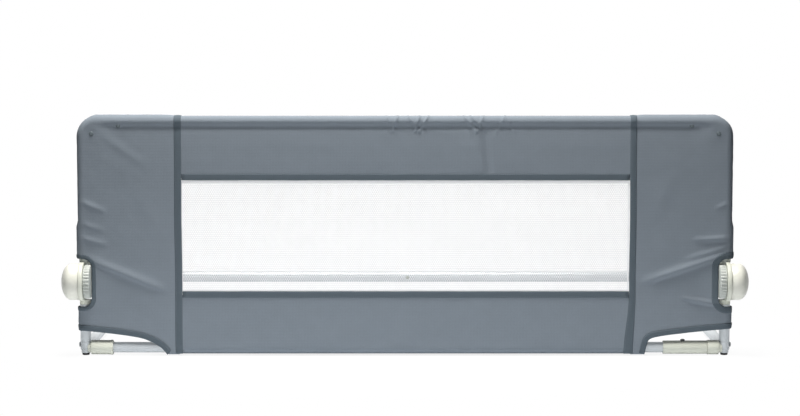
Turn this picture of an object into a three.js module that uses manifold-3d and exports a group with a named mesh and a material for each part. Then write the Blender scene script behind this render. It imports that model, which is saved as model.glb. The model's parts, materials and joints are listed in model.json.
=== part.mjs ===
// Folding bed guard rail: a fabric covered tube frame that stands on two arms which lie under the mattress.
// The upper frame tips forward about two hinge hubs that are let go by a domed button on each side.
// Millimetres. +X runs to the right seen from the room, -Y faces the room, +Z is up.
// The arms reach to +Y, and the origin is at floor level below the middle of the whole rail.

import * as THREE from 'three';
import { mergeVertices } from 'three/addons/utils/BufferGeometryUtils.js';
import Module from 'manifold-3d';

const wasm = await Module();
wasm.setup();

// Frame tubes
const tubeRadius = 9.5;
const tubeWall = 1.2;
const bendRadius = 26;
const uprightX = 561;
const topTubeZ = 409.5;
const seatGap = 0.3;
const plugDepth = 25;
const runningGap = 0.5;

// Fold axis, in front of the tubes so that the upper frame clears the lower one when it hangs down
const foldZ = 131;
const foldOffset = 14;

// Floor contact
const footRadius = 6.5;
const footHeight = 4;
const footPegRadius = 2.5;
const footPegDepth = 5;
const armReach = 380;
const armCapRadius = 14.5;
const armCapSeat = 30;
const armCapEnd = 5;

// Corner fittings
const fittingNeck = 10;
const fittingReach = 16;
const socketRadius = 12.6;
const leftSocketLength = 39;
const rightCollarLength = 21;
const socketInset = 3.5;
const socketFloor = 3;
const screwRadius = 2;
const screwHeadRadius = 4.5;
const screwHeadHeight = 2.2;
const screwDepth = 7;
const screwShare = 0.5;

// Sleeve on the front cross tube
const sleeveLength = 77;
const sleeveWall = 1.9;
const sleevePlugDepth = 14;
const sleeveButtonRadius = 4;
const sleeveButtonProud = 3;
const sleeveButtonShare = 0.45;
const sleeveFlangeRadius = 6;
const buttonFlange = 1.2;

// Crossbar between the hubs
const crossbarRise = 7;
const crossbarCollar = 8.5;
const crossbarPlug = 35;
const crossbarJointX = -12;
const couplerLeft = 48;
const couplerRight = 52;
const crossbarButtonRadius = 3;
const crossbarButtonProud = 2;
const crossbarButtonReach = 16.4;
const crossbarFlangeRadius = 4.5;

// Joint of the two top tubes
const topJointX = 78;
const topCouplerHalf = 53;

// Hinge hubs, measured outwards from the upright's centre line
const drumRadius = 29.5;
const rotorInner = -12.5;
const rotorOuter = -1;
const statorInner = -0.5;
const statorOuter = 11;
const ribDepth = 1;
const ribWidth = 6;
const hubCavityRadius = 20.3;
const shroudRadius = 34;
const shroudReach = 7;
const shroudFloor = 1;
const rotorPlate = 6;
const statorPlate = 6;
const webHalf = 9.5;
const neckLength = 6.5;
const rivetRadius = 3;
const rivetHeadRadius = 5.5;
const rivetHeadHeight = 3;

// Release button
const domeRadius = 32;
const domeInner = 6.4;
const domeOuter = 39;
const crownHeight = 17;
const domeWall = 2.5;
const buttonTravel = 4.8;
const prongRadius = 2.2;
const prongCircle = 13;
const prongClear = 0.4;
const ringOuter = 19.6;
const ringInner = 9;
const ringLength = 4.4;
const ringTooth = 2;
const springWire = 1.2;
const springRadius = 7.2;

// Fabric cover
const clothThickness = 1.5;
const sidePanelWidth = 164;
const seamGap = 0.3;
const foldGap = 0.4;
const tapeWidth = 12;
const tapeThickness = 0.8;
const windowLow = 107.2;
const topPanelHeight = 96.5;
const pinchDrop = 13.5;
const pinchInset = 2.9;
const pinchReach = 12;
const casingRise = 32;
const notchLow = 86;
const notchHigh = 171;
const notchInset = 13.5;
const notchCorner = 15;
const bindingWidth = 7;
const hemHigh = 42;
const hemLow = 2.5;
const hemWidth = 9;
const lowerSleeve = 26;
const backOpeningY = 5;
const studRadius = 4;
const studHeight = 1.2;

// Window net
const netThickness = 1;
const netStrand = 2.4;
const netMargin = 7;
const netColumns = 20;
const netRows = 4;

// Curve of the lower side hem, from the outer edge towards the seam: shares of its width and of its height
const hemShares = [
  [1.1, 1], [0.9, 0.97], [0.78, 0.93], [0.68, 0.875], [0.58, 0.81], [0.48, 0.745], [0.38, 0.667],
  [0.28, 0.562], [0.21, 0.395], [0.165, 0.21], [0.135, 0],
];

// Tension creases in the side panels: start and end as shares of the panel's width from the seam
// and of the guard's height, then the crease's height and half width as shares of the tube's diameter
const creaseShares = {
  left: [
    [0.78, 0.385, 0.2, 0.28, 0.11, 0.7],
    [0.93, 0.57, 0.72, 0.493, 0.1, 0.65],
  ],
  right: [
    [0.93, 0.51, 0.62, 0.493, 0.1, 0.65],
    [0.74, 0.402, 0.25, 0.301, 0.11, 0.7],
    [0.78, 0.243, 0.5, 0.259, 0.08, 0.65],
  ],
};

// Studs near the upper corners: shares of the panel's width from the seam, and of the guard's height
const studShares = [[0.905, 0.951], [0.62, 0.985]];

// Counts and directions
const tubeSides = 16;
const smallSides = 10;
const bendSteps = 7;
const ribCount = 32;
const ringTeeth = 8;
const domeSides = 24;
const crownSteps = 6;
const springTurns = 3;
const springSides = 5;
const springSteps = 8;
const panelColumns = 10;
const panelRows = 13;
const lowerPanelRows = 7;
const rimSteps = 6;
const X = new THREE.Vector3(1, 0, 0);
const Y = new THREE.Vector3(0, 1, 0);
const Z = new THREE.Vector3(0, 0, 1);
const rightSide = 1;
const leftSide = -1;

// Sizes that follow from the ones above
const boreRadius = tubeRadius - tubeWall;
const plugRadius = boreRadius - seatGap;
const seatRadius = tubeRadius + seatGap;
const floorTubeZ = footHeight + tubeRadius;
const clothInner = seatRadius;
const clothOuter = clothInner + clothThickness;
const clothMid = (clothInner + clothOuter) / 2;
const tapeMid = clothOuter + seatGap + tapeThickness / 2;
const crossbarZ = foldZ + crossbarRise;
const foldAxisY = -foldOffset;
const hubReach = shroudRadius + runningGap;
const neckBelowZ = foldZ - hubReach;
const neckAboveZ = foldZ + hubReach;
const coreRadius = domeRadius - domeWall - runningGap;
const lowerUprightTop = neckBelowZ - neckLength;
const upperTubeBottom = neckAboveZ + neckLength;
const fittingNeckTop = floorTubeZ + fittingNeck;
const sleeveRadius = tubeRadius + seatGap + sleeveWall;
const seamX = uprightX - sidePanelWidth;
const windowHigh = topTubeZ - topPanelHeight;
const overrun = tubeRadius;

// Solids from closed three.js geometry

function solidOf(geometry) {
  const bare = geometry.clone();
  bare.deleteAttribute('normal');
  bare.deleteAttribute('uv');
  const merged = mergeVertices(bare, weldDistance());
  const index = merged.index.array;
  const kept = [];
  for (let i = 0; i < index.length; i += 3) {
    const [a, b, c] = [index[i], index[i + 1], index[i + 2]];
    if (a !== b && b !== c && c !== a) kept.push(a, b, c);
  }
  const places = merged.attributes.position.array;
  if (signedVolume(places, kept) < 0) reverseFaces(kept);
  return new wasm.Manifold(new wasm.Mesh({
    numProp: 3,
    vertProperties: places,
    triVerts: new Uint32Array(kept),
  }));
}

function weldDistance() {
  return tubeWall / 5000;
}

function signedVolume(places, index) {
  const [a, b, c] = [new THREE.Vector3(), new THREE.Vector3(), new THREE.Vector3()];
  let sum = 0;
  for (let i = 0; i < index.length; i += 3) {
    a.fromArray(places, index[i] * 3);
    b.fromArray(places, index[i + 1] * 3);
    c.fromArray(places, index[i + 2] * 3);
    sum += a.dot(b.cross(c));
  }
  return sum;
}

function reverseFaces(index) {
  for (let i = 0; i < index.length; i += 3) [index[i + 1], index[i + 2]] = [index[i + 2], index[i + 1]];
}

function geometryOf(solid, side) {
  const mesh = solid.getMesh();
  const places = Float32Array.from(mesh.vertProperties);
  const index = Array.from(mesh.triVerts);
  if (side === leftSide) {
    for (let i = 0; i < places.length; i += 3) places[i] = -places[i];
    reverseFaces(index);
  }
  const geometry = new THREE.BufferGeometry();
  geometry.setAttribute('position', new THREE.BufferAttribute(places, 3));
  geometry.setIndex(index);
  const flat = geometry.toNonIndexed();
  flat.computeVertexNormals();
  return flat;
}

function joined(...solids) {
  return solids.reduce((all, one) => all.add(one));
}

function without(solid, ...tools) {
  return tools.reduce((left, tool) => left.subtract(tool), solid);
}

// A round bar between two places on one axis

function bar(axis, radius, from, to, centre, sides = tubeSides) {
  const geometry = new THREE.CylinderGeometry(radius, radius, Math.abs(to - from), sides);
  geometry.rotateY(Math.PI / sides);
  if (axis === X) geometry.rotateZ(-Math.PI / 2);
  if (axis === Z) geometry.rotateX(Math.PI / 2);
  const place = axis.clone().multiplyScalar((from + to) / 2).add(centre);
  geometry.translate(place.x, place.y, place.z);
  return solidOf(geometry);
}

function block(low, high) {
  const size = high.clone().sub(low);
  const geometry = new THREE.BoxGeometry(size.x, size.y, size.z);
  const middle = low.clone().add(high).multiplyScalar(1 / 2);
  geometry.translate(middle.x, middle.y, middle.z);
  return solidOf(geometry);
}

function at(x, y, z) {
  return new THREE.Vector3(x, y, z);
}

function tubeBar(axis, radius, wall, from, to, centre) {
  const outside = bar(axis, radius, from, to, centre);
  return without(outside, bar(axis, radius - wall, from - overrun, to + overrun, centre));
}

// A profile of radius and distance along X, turned about the X axis

function turned(profile, sides) {
  const geometry = new THREE.LatheGeometry(profile.map(([r, along]) => new THREE.Vector2(r, along)), sides);
  geometry.rotateZ(-Math.PI / 2);
  return solidOf(geometry);
}

// An outline in X and Z, extruded from one Y to another

function plateXZ(outline, fromY, toY) {
  const geometry = new THREE.ExtrudeGeometry(outline, {
    depth: toY - fromY, bevelEnabled: false, curveSegments: 6,
  });
  geometry.applyMatrix4(new THREE.Matrix4().makeBasis(X, Z, Y.clone().negate()));
  geometry.translate(0, toY, 0);
  return solidOf(geometry);
}

// An outline in Y and Z, extruded from one X to another

function plateYZ(outline, fromX, toX) {
  const geometry = new THREE.ExtrudeGeometry(outline, {
    depth: toX - fromX, bevelEnabled: false, curveSegments: 6,
  });
  geometry.applyMatrix4(new THREE.Matrix4().makeBasis(Y, Z, X));
  geometry.translate(fromX, 0, 0);
  return solidOf(geometry);
}

function outlineOf(points) {
  return new THREE.Shape(points.map(([across, up]) => new THREE.Vector2(across, up)));
}

function rectangle(fromX, toX, fromZ, toZ) {
  return outlineOf([[fromX, fromZ], [toX, fromZ], [toX, toZ], [fromX, toZ]]);
}

// A curve that is drawn through chosen stations, each with its own direction

class StationCurve extends THREE.Curve {
  constructor(places, directions) {
    super();
    this.places = places;
    this.directions = directions;
  }

  getPoint(t) {
    return this.places[Math.round(t * (this.places.length - 1))].clone();
  }

  getPointAt(u) {
    return this.getPoint(u);
  }

  getTangentAt(u) {
    return this.directions[Math.round(u * (this.places.length - 1))].clone();
  }
}

function swept(curve, radius, wall, sides) {
  const section = new THREE.Shape();
  section.absarc(0, 0, radius, 0, Math.PI * 2);
  if (wall > 0) {
    const bore = new THREE.Path();
    bore.absarc(0, 0, radius - wall, 0, Math.PI * 2, true);
    section.holes.push(bore);
  }
  const geometry = new THREE.ExtrudeGeometry(section, {
    steps: curve.places.length - 1, extrudePath: curve, bevelEnabled: false, curveSegments: sides / 2,
  });
  return solidOf(geometry);
}

// Frame tubes

function bentTube(endX) {
  const places = [at(uprightX, 0, upperTubeBottom + seatGap)];
  const directions = [Z.clone()];
  for (let i = 0; i <= bendSteps; i += 1) {
    const angle = (Math.PI / 2) * (i / bendSteps);
    const centre = at(uprightX - bendRadius, 0, topTubeZ - bendRadius);
    places.push(centre.add(at(bendRadius * Math.cos(angle), 0, bendRadius * Math.sin(angle))));
    directions.push(at(-Math.sin(angle), 0, Math.cos(angle)));
  }
  places.push(at(endX, 0, topTubeZ));
  directions.push(X.clone().negate());
  return swept(new StationCurve(places, directions), tubeRadius, tubeWall, tubeSides);
}

function topCoupler() {
  return tubeBar(
    X, plugRadius, tubeWall, topJointX - topCouplerHalf, topJointX + topCouplerHalf, at(0, 0, topTubeZ),
  );
}

function lowerUpright() {
  return tubeBar(
    Z, tubeRadius, tubeWall, fittingNeckTop + seatGap, lowerUprightTop - seatGap, at(uprightX, 0, 0),
  );
}

function underMattressArm() {
  return tubeBar(
    Y, tubeRadius, tubeWall, fittingReach + seatGap, armReach - armCapEnd - seatGap, at(uprightX, 0, floorTubeZ),
  );
}

function frontCrossTube() {
  const left = -(uprightX - tubeRadius - socketInset - socketFloor - seatGap);
  const right = sleeveRight() - sleevePlugDepth - seatGap;
  const hole = bar(
    Z, sleeveButtonRadius + seatGap, floorTubeZ, floorTubeZ + socketRadius + overrun, at(sleeveButtonX(), 0, 0),
    smallSides,
  );
  return without(tubeBar(X, tubeRadius, tubeWall, left, right, at(0, 0, floorTubeZ)), hole);
}

// Corner fittings of cream plastic

function sleeveRight() {
  return uprightX - tubeRadius - rightCollarLength - seatGap;
}

function sleeveLeft() {
  return sleeveRight() - sleeveLength;
}

function sleeveButtonX() {
  return sleeveLeft() + sleeveLength * sleeveButtonShare;
}

function screwZ() {
  return floorTubeZ + fittingNeck * screwShare;
}

function cornerCore() {
  const centre = at(uprightX, 0, floorTubeZ);
  const ball = new THREE.SphereGeometry(tubeRadius, tubeSides, tubeSides / 2);
  ball.rotateX(Math.PI / 2);
  ball.translate(centre.x, centre.y, centre.z);
  const spine = at(uprightX, 0, 0);
  return joined(
    solidOf(ball),
    bar(Z, tubeRadius, floorTubeZ, fittingNeckTop, spine),
    bar(Z, plugRadius, floorTubeZ, fittingNeckTop + plugDepth, spine),
    bar(Y, tubeRadius, 0, fittingReach, centre),
    bar(Y, plugRadius, 0, fittingReach + plugDepth, centre),
    bar(Z, footRadius + tubeWall, footHeight, floorTubeZ, spine),
  );
}

function cornerHoles() {
  const foot = at(uprightX, 0, 0);
  const screwLine = at(uprightX, 0, screwZ());
  return [
    bar(Z, footPegRadius + seatGap, 0, footHeight + footPegDepth + seatGap, foot, smallSides),
    bar(X, screwRadius + seatGap, tubeRadius - screwDepth - seatGap, tubeRadius + overrun, screwLine, smallSides),
  ];
}

function cornerFittingLeft() {
  const outer = uprightX - tubeRadius - seatGap;
  const inner = outer - leftSocketLength;
  const line = at(0, 0, floorTubeZ);
  const socket = bar(X, socketRadius, inner, outer, line);
  const root = bar(X, tubeRadius, outer - socketInset, uprightX, line);
  const bore = bar(X, seatRadius, inner - overrun, outer - socketInset - socketFloor, line);
  return without(joined(cornerCore(), socket, root), bore, ...cornerHoles());
}

function cornerFittingRight() {
  const outer = uprightX - tubeRadius - seatGap;
  const inner = sleeveRight() + seatGap;
  const line = at(0, 0, floorTubeZ);
  const collar = bar(X, socketRadius, inner, outer, line);
  const root = bar(X, tubeRadius, outer - socketInset, uprightX, line);
  const plug = bar(X, tubeRadius, sleeveRight() - sleevePlugDepth, inner + socketInset, line);
  return without(joined(cornerCore(), collar, root, plug), ...cornerHoles());
}

function crossTubeSleeve() {
  const line = at(0, 0, floorTubeZ);
  const hole = bar(
    Z, sleeveButtonRadius + seatGap, floorTubeZ, floorTubeZ + sleeveRadius + overrun, at(sleeveButtonX(), 0, 0),
    smallSides,
  );
  return without(tubeBar(X, sleeveRadius, sleeveWall, sleeveLeft(), sleeveRight(), line), hole);
}

function sleeveButton() {
  const top = floorTubeZ + sleeveRadius + sleeveButtonProud;
  const flangeTop = floorTubeZ + Math.sqrt(boreRadius ** 2 - sleeveFlangeRadius ** 2) - seatGap;
  const line = at(sleeveButtonX(), 0, 0);
  return joined(
    bar(Z, sleeveButtonRadius, flangeTop - buttonFlange, top, line, smallSides),
    bar(Z, sleeveFlangeRadius, flangeTop - buttonFlange, flangeTop, line, smallSides),
  );
}

function cornerScrew() {
  const line = at(uprightX, 0, screwZ());
  const face = tubeRadius + seatGap;
  return joined(
    bar(X, screwRadius, tubeRadius - screwDepth, face + screwHeadHeight, line, smallSides),
    bar(X, screwHeadRadius, face, face + screwHeadHeight, line, smallSides),
  );
}

function footPad() {
  const line = at(uprightX, 0, 0);
  return joined(
    bar(Z, footRadius, 0, footHeight - seatGap, line),
    bar(Z, footPegRadius, footHeight / 2, footHeight + footPegDepth, line, smallSides),
  );
}

function armEndCap() {
  const line = at(uprightX, 0, floorTubeZ);
  const body = bar(Y, armCapRadius, armReach - armCapSeat, armReach, line);
  const bore = bar(Y, seatRadius, armReach - armCapSeat - overrun, armReach - armCapEnd, line);
  const floor = block(
    at(uprightX - armCapRadius * 2, armReach - armCapSeat - overrun, -armCapRadius * 2),
    at(uprightX + armCapRadius * 2, armReach + overrun, 0),
  );
  return without(body, bore, floor);
}

// Hinge hubs. Here X is measured outwards from the upright, Y and Z from the fold axis.

function ribbedOutline() {
  const points = [];
  for (let i = 0; i < ribCount * 2; i += 1) {
    const angle = (Math.PI * i) / ribCount;
    const radius = drumRadius - (i % 2) * ribDepth;
    points.push([radius * Math.cos(angle), radius * Math.sin(angle)]);
  }
  return outlineOf(points);
}

function toothedOutline(tip) {
  const points = [];
  for (let i = 0; i < ringTeeth * 4; i += 1) {
    const angle = (Math.PI * 2 * i) / (ringTeeth * 4);
    const radius = i % 4 < 2 ? tip : tip - ringTooth;
    points.push([radius * Math.cos(angle), radius * Math.sin(angle)]);
  }
  return outlineOf(points);
}

// Web and collar that carry a tube of the guard or of the base, above or below the drum

function neck(innerX, outerX, way) {
  const tubeY = foldOffset;
  const shoulder = way * hubReach;
  const end = way * (hubReach + neckLength);
  const root = way * (drumRadius - ribDepth) * Math.SQRT1_2;
  const heights = (from, to) => [Math.min(from, to), Math.max(from, to)];
  const [webLow, webHigh] = heights(root, (shoulder + end) / 2);
  const [neckLow, neckHigh] = heights(shoulder, end);
  const [plugLow, plugHigh] = heights(shoulder, end + way * plugDepth);
  const spine = at(0, tubeY, 0);
  return joined(
    block(at(innerX, tubeY - webHalf, webLow), at(outerX, tubeY + webHalf, webHigh)),
    bar(Z, tubeRadius, neckLow, neckHigh, spine),
    bar(Z, plugRadius, plugLow, plugHigh, spine),
  );
}

function hingeArm() {
  const axis = at(0, 0, 0);
  const tubeLine = at(0, foldOffset, crossbarRise);
  const ribbed = plateYZ(ribbedOutline(), rotorInner, rotorInner + ribWidth);
  const drum = bar(X, drumRadius, rotorInner + ribWidth - ribDepth, rotorOuter, axis, ribCount);
  const collar = bar(X, tubeRadius, rotorInner - crossbarCollar, rotorInner + ribWidth / 2, tubeLine);
  const plug = bar(X, plugRadius, rotorInner - crossbarCollar - crossbarPlug, rotorInner, tubeLine);
  const solid = joined(ribbed, drum, neck(rotorInner, rotorOuter, 1), collar, plug);
  return without(
    solid,
    bar(X, hubCavityRadius, rotorInner + rotorPlate, rotorOuter + overrun, axis),
    bar(X, rivetRadius + seatGap, rotorInner - overrun, rotorOuter, axis, smallSides),
    bar(X, rivetHeadRadius + seatGap, rotorInner - overrun, rivetInnerFace() + seatGap, axis, smallSides),
  );
}

function rivetInnerFace() {
  return rotorInner + seatGap + rivetHeadHeight;
}

function hingeBase() {
  const axis = at(0, 0, 0);
  const shroud = bar(X, shroudRadius, statorInner, shroudReach, axis, ribCount);
  const groove = bar(X, domeRadius + runningGap, shroudFloor, shroudReach + overrun, axis, ribCount);
  const core = bar(X, coreRadius, statorInner, statorOuter, axis, ribCount);
  const solid = joined(without(joined(shroud, neck(statorInner, shroudReach, -1)), groove), core);
  const prongHoles = prongPlaces().map(
    (place) => bar(X, prongRadius + prongClear, 0, statorOuter + overrun, place, smallSides),
  );
  return without(
    solid,
    plateYZ(toothedOutline(ringOuter + seatGap), statorInner - overrun, statorOuter - statorPlate),
    bar(X, rivetRadius + seatGap, statorInner, statorOuter + overrun, axis, smallSides),
    ...prongHoles,
  );
}

function prongPlaces() {
  return [0, 1, 2].map((i) => {
    const angle = Math.PI / 2 + (Math.PI * 2 * i) / 3;
    return at(0, prongCircle * Math.cos(angle), prongCircle * Math.sin(angle));
  });
}

function hingeRivet() {
  const inner = rotorInner + seatGap;
  const outer = statorOuter + seatGap;
  return turned([
    [0, inner], [rivetHeadRadius, inner], [rivetHeadRadius, rivetInnerFace()], [rivetRadius, rivetInnerFace()],
    [rivetRadius, outer], [rivetHeadRadius, outer], [rivetHeadRadius, outer + rivetHeadHeight],
    [0, outer + rivetHeadHeight],
  ], smallSides);
}

function lockRingEnd() {
  return rotorOuter - seatGap - runningGap / 5 + ringLength;
}

function lockRing() {
  const end = lockRingEnd();
  const ring = plateYZ(toothedOutline(ringOuter), end - ringLength, end);
  return without(ring, bar(X, ringInner, end - ringLength - overrun, end + overrun, at(0, 0, 0)));
}

// Height of the button's crown at a distance from its axis

function crownAt(distance, radius, from, to) {
  return from + (to - from) * Math.sqrt(1 - (distance / radius) ** 2);
}

function domeProfile(radius, from, shoulder, to) {
  const points = [[radius, from]];
  for (let i = 0; i < crownSteps; i += 1) {
    const angle = (Math.PI / 2) * (i / crownSteps);
    points.push([radius * Math.cos(angle), shoulder + (to - shoulder) * Math.sin(angle)]);
  }
  return points;
}

function releaseButton() {
  const shoulder = domeOuter - crownHeight;
  const outside = domeProfile(domeRadius, domeInner, shoulder, domeOuter);
  const inside = domeProfile(domeRadius - domeWall, domeInner, shoulder, domeOuter - domeWall).reverse();
  const top = [[0, domeOuter], [0, domeOuter - domeWall]];
  const cup = turned([...outside, ...top, ...inside, outside[0]], domeSides);
  const end = crownAt(prongCircle + prongRadius, domeRadius, shoulder, domeOuter) - domeWall / 4;
  const prongs = prongPlaces().map(
    (place) => bar(X, prongRadius, lockRingEnd() + seatGap, end, place, smallSides),
  );
  return joined(cup, ...prongs);
}

function releaseSpring() {
  const from = statorOuter + seatGap + springWire / 2;
  const roofRadius = domeRadius - domeWall;
  const shoulder = domeOuter - crownHeight;
  const roof = crownAt(springRadius + springWire, roofRadius, shoulder, domeOuter - domeWall);
  const to = roof - seatGap - springWire / 2;
  const places = [];
  const directions = [];
  const steps = springTurns * springSteps;
  const around = Math.PI * 2 * springTurns;
  for (let i = 0; i <= steps; i += 1) {
    const share = i / steps;
    const angle = around * share;
    places.push(at(from + (to - from) * share, springRadius * Math.cos(angle), springRadius * Math.sin(angle)));
    directions.push(
      at(to - from, -springRadius * around * Math.sin(angle), springRadius * around * Math.cos(angle)).normalize(),
    );
  }
  return swept(new StationCurve(places, directions), springWire / 2, 0, springSides);
}

// Crossbar between the hubs, in two halves on a coupler

function crossbarEnd() {
  return uprightX + rotorInner - crossbarCollar - seatGap;
}

function crossbarButtonX() {
  return crossbarJointX + crossbarButtonReach;
}

function crossbarLeft() {
  return tubeBar(
    X, tubeRadius, tubeWall, -crossbarEnd(), crossbarJointX - seatGap / 2, at(0, 0, crossbarZ),
  );
}

function crossbarButtonHole() {
  return bar(
    Y, crossbarButtonRadius + seatGap, -tubeRadius - overrun, 0, at(crossbarButtonX(), 0, crossbarZ), smallSides,
  );
}

function crossbarRight() {
  const tube = tubeBar(
    X, tubeRadius, tubeWall, crossbarJointX + seatGap / 2, crossbarEnd(), at(0, 0, crossbarZ),
  );
  return without(tube, crossbarButtonHole());
}

function crossbarCoupler() {
  const tube = tubeBar(
    X, plugRadius, tubeWall, crossbarJointX - couplerLeft, crossbarJointX + couplerRight, at(0, 0, crossbarZ),
  );
  return without(tube, crossbarButtonHole());
}

function crossbarButton() {
  const line = at(crossbarButtonX(), 0, crossbarZ);
  const inside = plugRadius - tubeWall;
  const flange = -Math.sqrt(inside ** 2 - crossbarFlangeRadius ** 2) + seatGap;
  return joined(
    bar(Y, crossbarButtonRadius, -tubeRadius - crossbarButtonProud, flange + buttonFlange, line, smallSides),
    bar(Y, crossbarFlangeRadius, flange, flange + buttonFlange, line, smallSides),
  );
}

// Fabric: a surface made of patches, then given its thickness

function patch(uCount, vCount, place) {
  const places = [];
  const index = [];
  for (let j = 0; j <= vCount; j += 1) {
    for (let i = 0; i <= uCount; i += 1) places.push(...place(i, j).toArray());
  }
  for (let j = 0; j < vCount; j += 1) {
    for (let i = 0; i < uCount; i += 1) {
      const a = j * (uCount + 1) + i;
      const b = a + 1;
      const c = a + uCount + 1;
      const d = c + 1;
      index.push(a, b, d, a, d, c);
    }
  }
  return { places, index };
}

function thickened(patches, thickness) {
  const surface = new THREE.BufferGeometry();
  const places = [];
  const index = [];
  for (const one of patches) {
    const first = places.length / 3;
    places.push(...one.places);
    index.push(...one.index.map((i) => i + first));
  }
  surface.setAttribute('position', new THREE.Float32BufferAttribute(places, 3));
  surface.setIndex(index);
  const merged = mergeVertices(surface, thickness / 100);
  merged.computeVertexNormals();
  const count = merged.attributes.position.count;
  const both = [];
  for (const way of [1, -1]) {
    for (let i = 0; i < count; i += 1) {
      const p = new THREE.Vector3().fromBufferAttribute(merged.attributes.position, i);
      const n = new THREE.Vector3().fromBufferAttribute(merged.attributes.normal, i);
      both.push(...p.addScaledVector(n, (way * thickness) / 2).toArray());
    }
  }
  const faces = Array.from(merged.index.array);
  const closed = [...faces];
  const open = new Map();
  for (let i = 0; i < faces.length; i += 3) {
    const triangle = faces.slice(i, i + 3);
    closed.push(triangle[0] + count, triangle[2] + count, triangle[1] + count);
    for (let k = 0; k < 3; k += 1) {
      const [from, to] = [triangle[k], triangle[(k + 1) % 3]];
      if (open.has(`${to} ${from}`)) open.delete(`${to} ${from}`);
      else open.set(`${from} ${to}`, [from, to]);
    }
  }
  for (const [from, to] of open.values()) {
    closed.push(from, from + count, to, to, from + count, to + count);
  }
  const shell = new THREE.BufferGeometry();
  shell.setAttribute('position', new THREE.Float32BufferAttribute(both, 3));
  shell.setIndex(closed);
  return solidOf(shell);
}

// How far a crease lifts the front of a side panel

function creaseLift(side, x, z) {
  const creases = side === leftSide ? creaseShares.left : creaseShares.right;
  const width = uprightX - seamX;
  let lift = 0;
  for (const [u0, v0, u1, v1, heightShare, widthShare] of creases) {
    const from = new THREE.Vector2(seamX + u0 * width, v0 * topTubeZ);
    const along = new THREE.Vector2(seamX + u1 * width, v1 * topTubeZ).sub(from);
    const to = new THREE.Vector2(x, z).sub(from);
    const share = to.dot(along) / along.lengthSq();
    const off = Math.abs(to.cross(along)) / along.length() / (widthShare * tubeRadius * 2);
    if (share < 0 || share > 1 || off > 1) continue;
    lift += heightShare * tubeRadius * 2 * (1 - off ** 2) ** 2 * Math.sin(Math.PI * share) ** 2;
  }
  return lift;
}

// Stations that come closer together near the hinge, and always hold the bend's start

function spread(from, to, count, bendFrom) {
  const stations = [];
  const straight = count - 3;
  for (let i = 0; i <= straight; i += 1) {
    const share = i / straight;
    stations.push(from + (bendFrom - from) * (0.6 * share + 0.4 * share ** 2));
  }
  for (let i = 1; i <= 3; i += 1) stations.push(bendFrom + ((to - bendFrom) * i) / 3);
  return stations;
}

function roundedPlace(x, z) {
  const centreX = uprightX - bendRadius;
  const centreZ = topTubeZ - bendRadius;
  const a = (x - centreX) / bendRadius;
  const b = (z - centreZ) / bendRadius;
  if (a <= 0 || b <= 0) return [x, z];
  return [
    centreX + bendRadius * a * Math.sqrt(1 - b ** 2 / 2),
    centreZ + bendRadius * b * Math.sqrt(1 - a ** 2 / 2),
  ];
}

function outwardAt(x, z) {
  const centreX = uprightX - bendRadius;
  const centreZ = topTubeZ - bendRadius;
  if (z <= centreZ) return at(1, 0, 0);
  if (x <= centreX) return at(0, 0, 1);
  return at(x - centreX, 0, z - centreZ).normalize();
}

function panelInnerEdge() {
  return seamX + seamGap / 2;
}

function rimPatch(border) {
  return patch(rimSteps, border.length - 1, (i, j) => {
    const [x, z] = border[j];
    const angle = Math.PI * (i / rimSteps) - Math.PI / 2;
    const onFace = i === 0 || i === rimSteps;
    const radius = onFace ? clothMid : clothMid / Math.cos(Math.PI / rimSteps / 2);
    const place = at(x, radius * Math.sin(angle), z);
    return onFace ? place : place.addScaledVector(outwardAt(x, z), radius * Math.cos(angle));
  });
}

function upperSidePanel(side) {
  const columns = spread(panelInnerEdge(), uprightX, panelColumns, uprightX - bendRadius);
  const rows = spread(foldZ + foldGap / 2, topTubeZ, panelRows, topTubeZ - bendRadius);
  const front = patch(panelColumns, panelRows, (i, j) => {
    const [x, z] = roundedPlace(columns[i], rows[j]);
    return at(x, -clothMid - creaseLift(side, x, z), z);
  });
  const back = patch(panelRows, panelColumns, (i, j) => {
    const [x, z] = roundedPlace(columns[j], rows[i]);
    return at(x, clothMid, z);
  });
  const border = [
    ...rows.map((z) => roundedPlace(uprightX, z)),
    ...columns.slice(0, -1).reverse().map((x) => roundedPlace(x, topTubeZ)),
  ];
  const sheet = thickened([front, rimPatch(border), back], clothThickness);
  return without(sheet, notchTool(), backOpeningTool());
}

function lowerSidePanel(side) {
  const columns = spread(panelInnerEdge(), uprightX, panelColumns, uprightX - lowerSleeve);
  const low = floorTubeZ - clothOuter;
  const rows = [];
  for (let j = 0; j <= lowerPanelRows; j += 1) {
    rows.push(low + ((foldZ - foldGap / 2 - low) * j) / lowerPanelRows);
  }
  const front = patch(panelColumns, lowerPanelRows, (i, j) => (
    at(columns[i], -clothMid - creaseLift(side, columns[i], rows[j]), rows[j])
  ));
  const sleeve = columns.slice(-4);
  const back = patch(lowerPanelRows, sleeve.length - 1, (i, j) => at(sleeve[j], clothMid, rows[i]));
  const border = rows.map((z) => [uprightX, z]);
  const sheet = thickened([front, rimPatch(border), back], clothThickness);
  return without(sheet, notchTool(), backOpeningTool(), hemTool());
}

// The notch that leaves the hinge hub free

function notchOutline(grow) {
  const inner = uprightX - notchInset - grow;
  const outer = uprightX + clothOuter + overrun;
  const low = notchLow - grow;
  const high = notchHigh + grow;
  const corner = notchCorner + grow;
  const shape = new THREE.Shape();
  shape.moveTo(outer, low);
  shape.lineTo(outer, high);
  shape.lineTo(inner + corner, high);
  shape.absarc(inner + corner, high - corner, corner, Math.PI / 2, Math.PI);
  shape.lineTo(inner, low + corner);
  shape.absarc(inner + corner, low + corner, corner, Math.PI, Math.PI * 1.5);
  return shape;
}

function notchTool() {
  return plateXZ(notchOutline(0), -clothOuter - overrun, clothOuter + overrun);
}

function backOpeningTool() {
  return block(
    at(seamX - overrun, -backOpeningY, notchLow),
    at(uprightX + clothOuter + overrun, clothOuter + overrun, notchHigh),
  );
}

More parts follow.
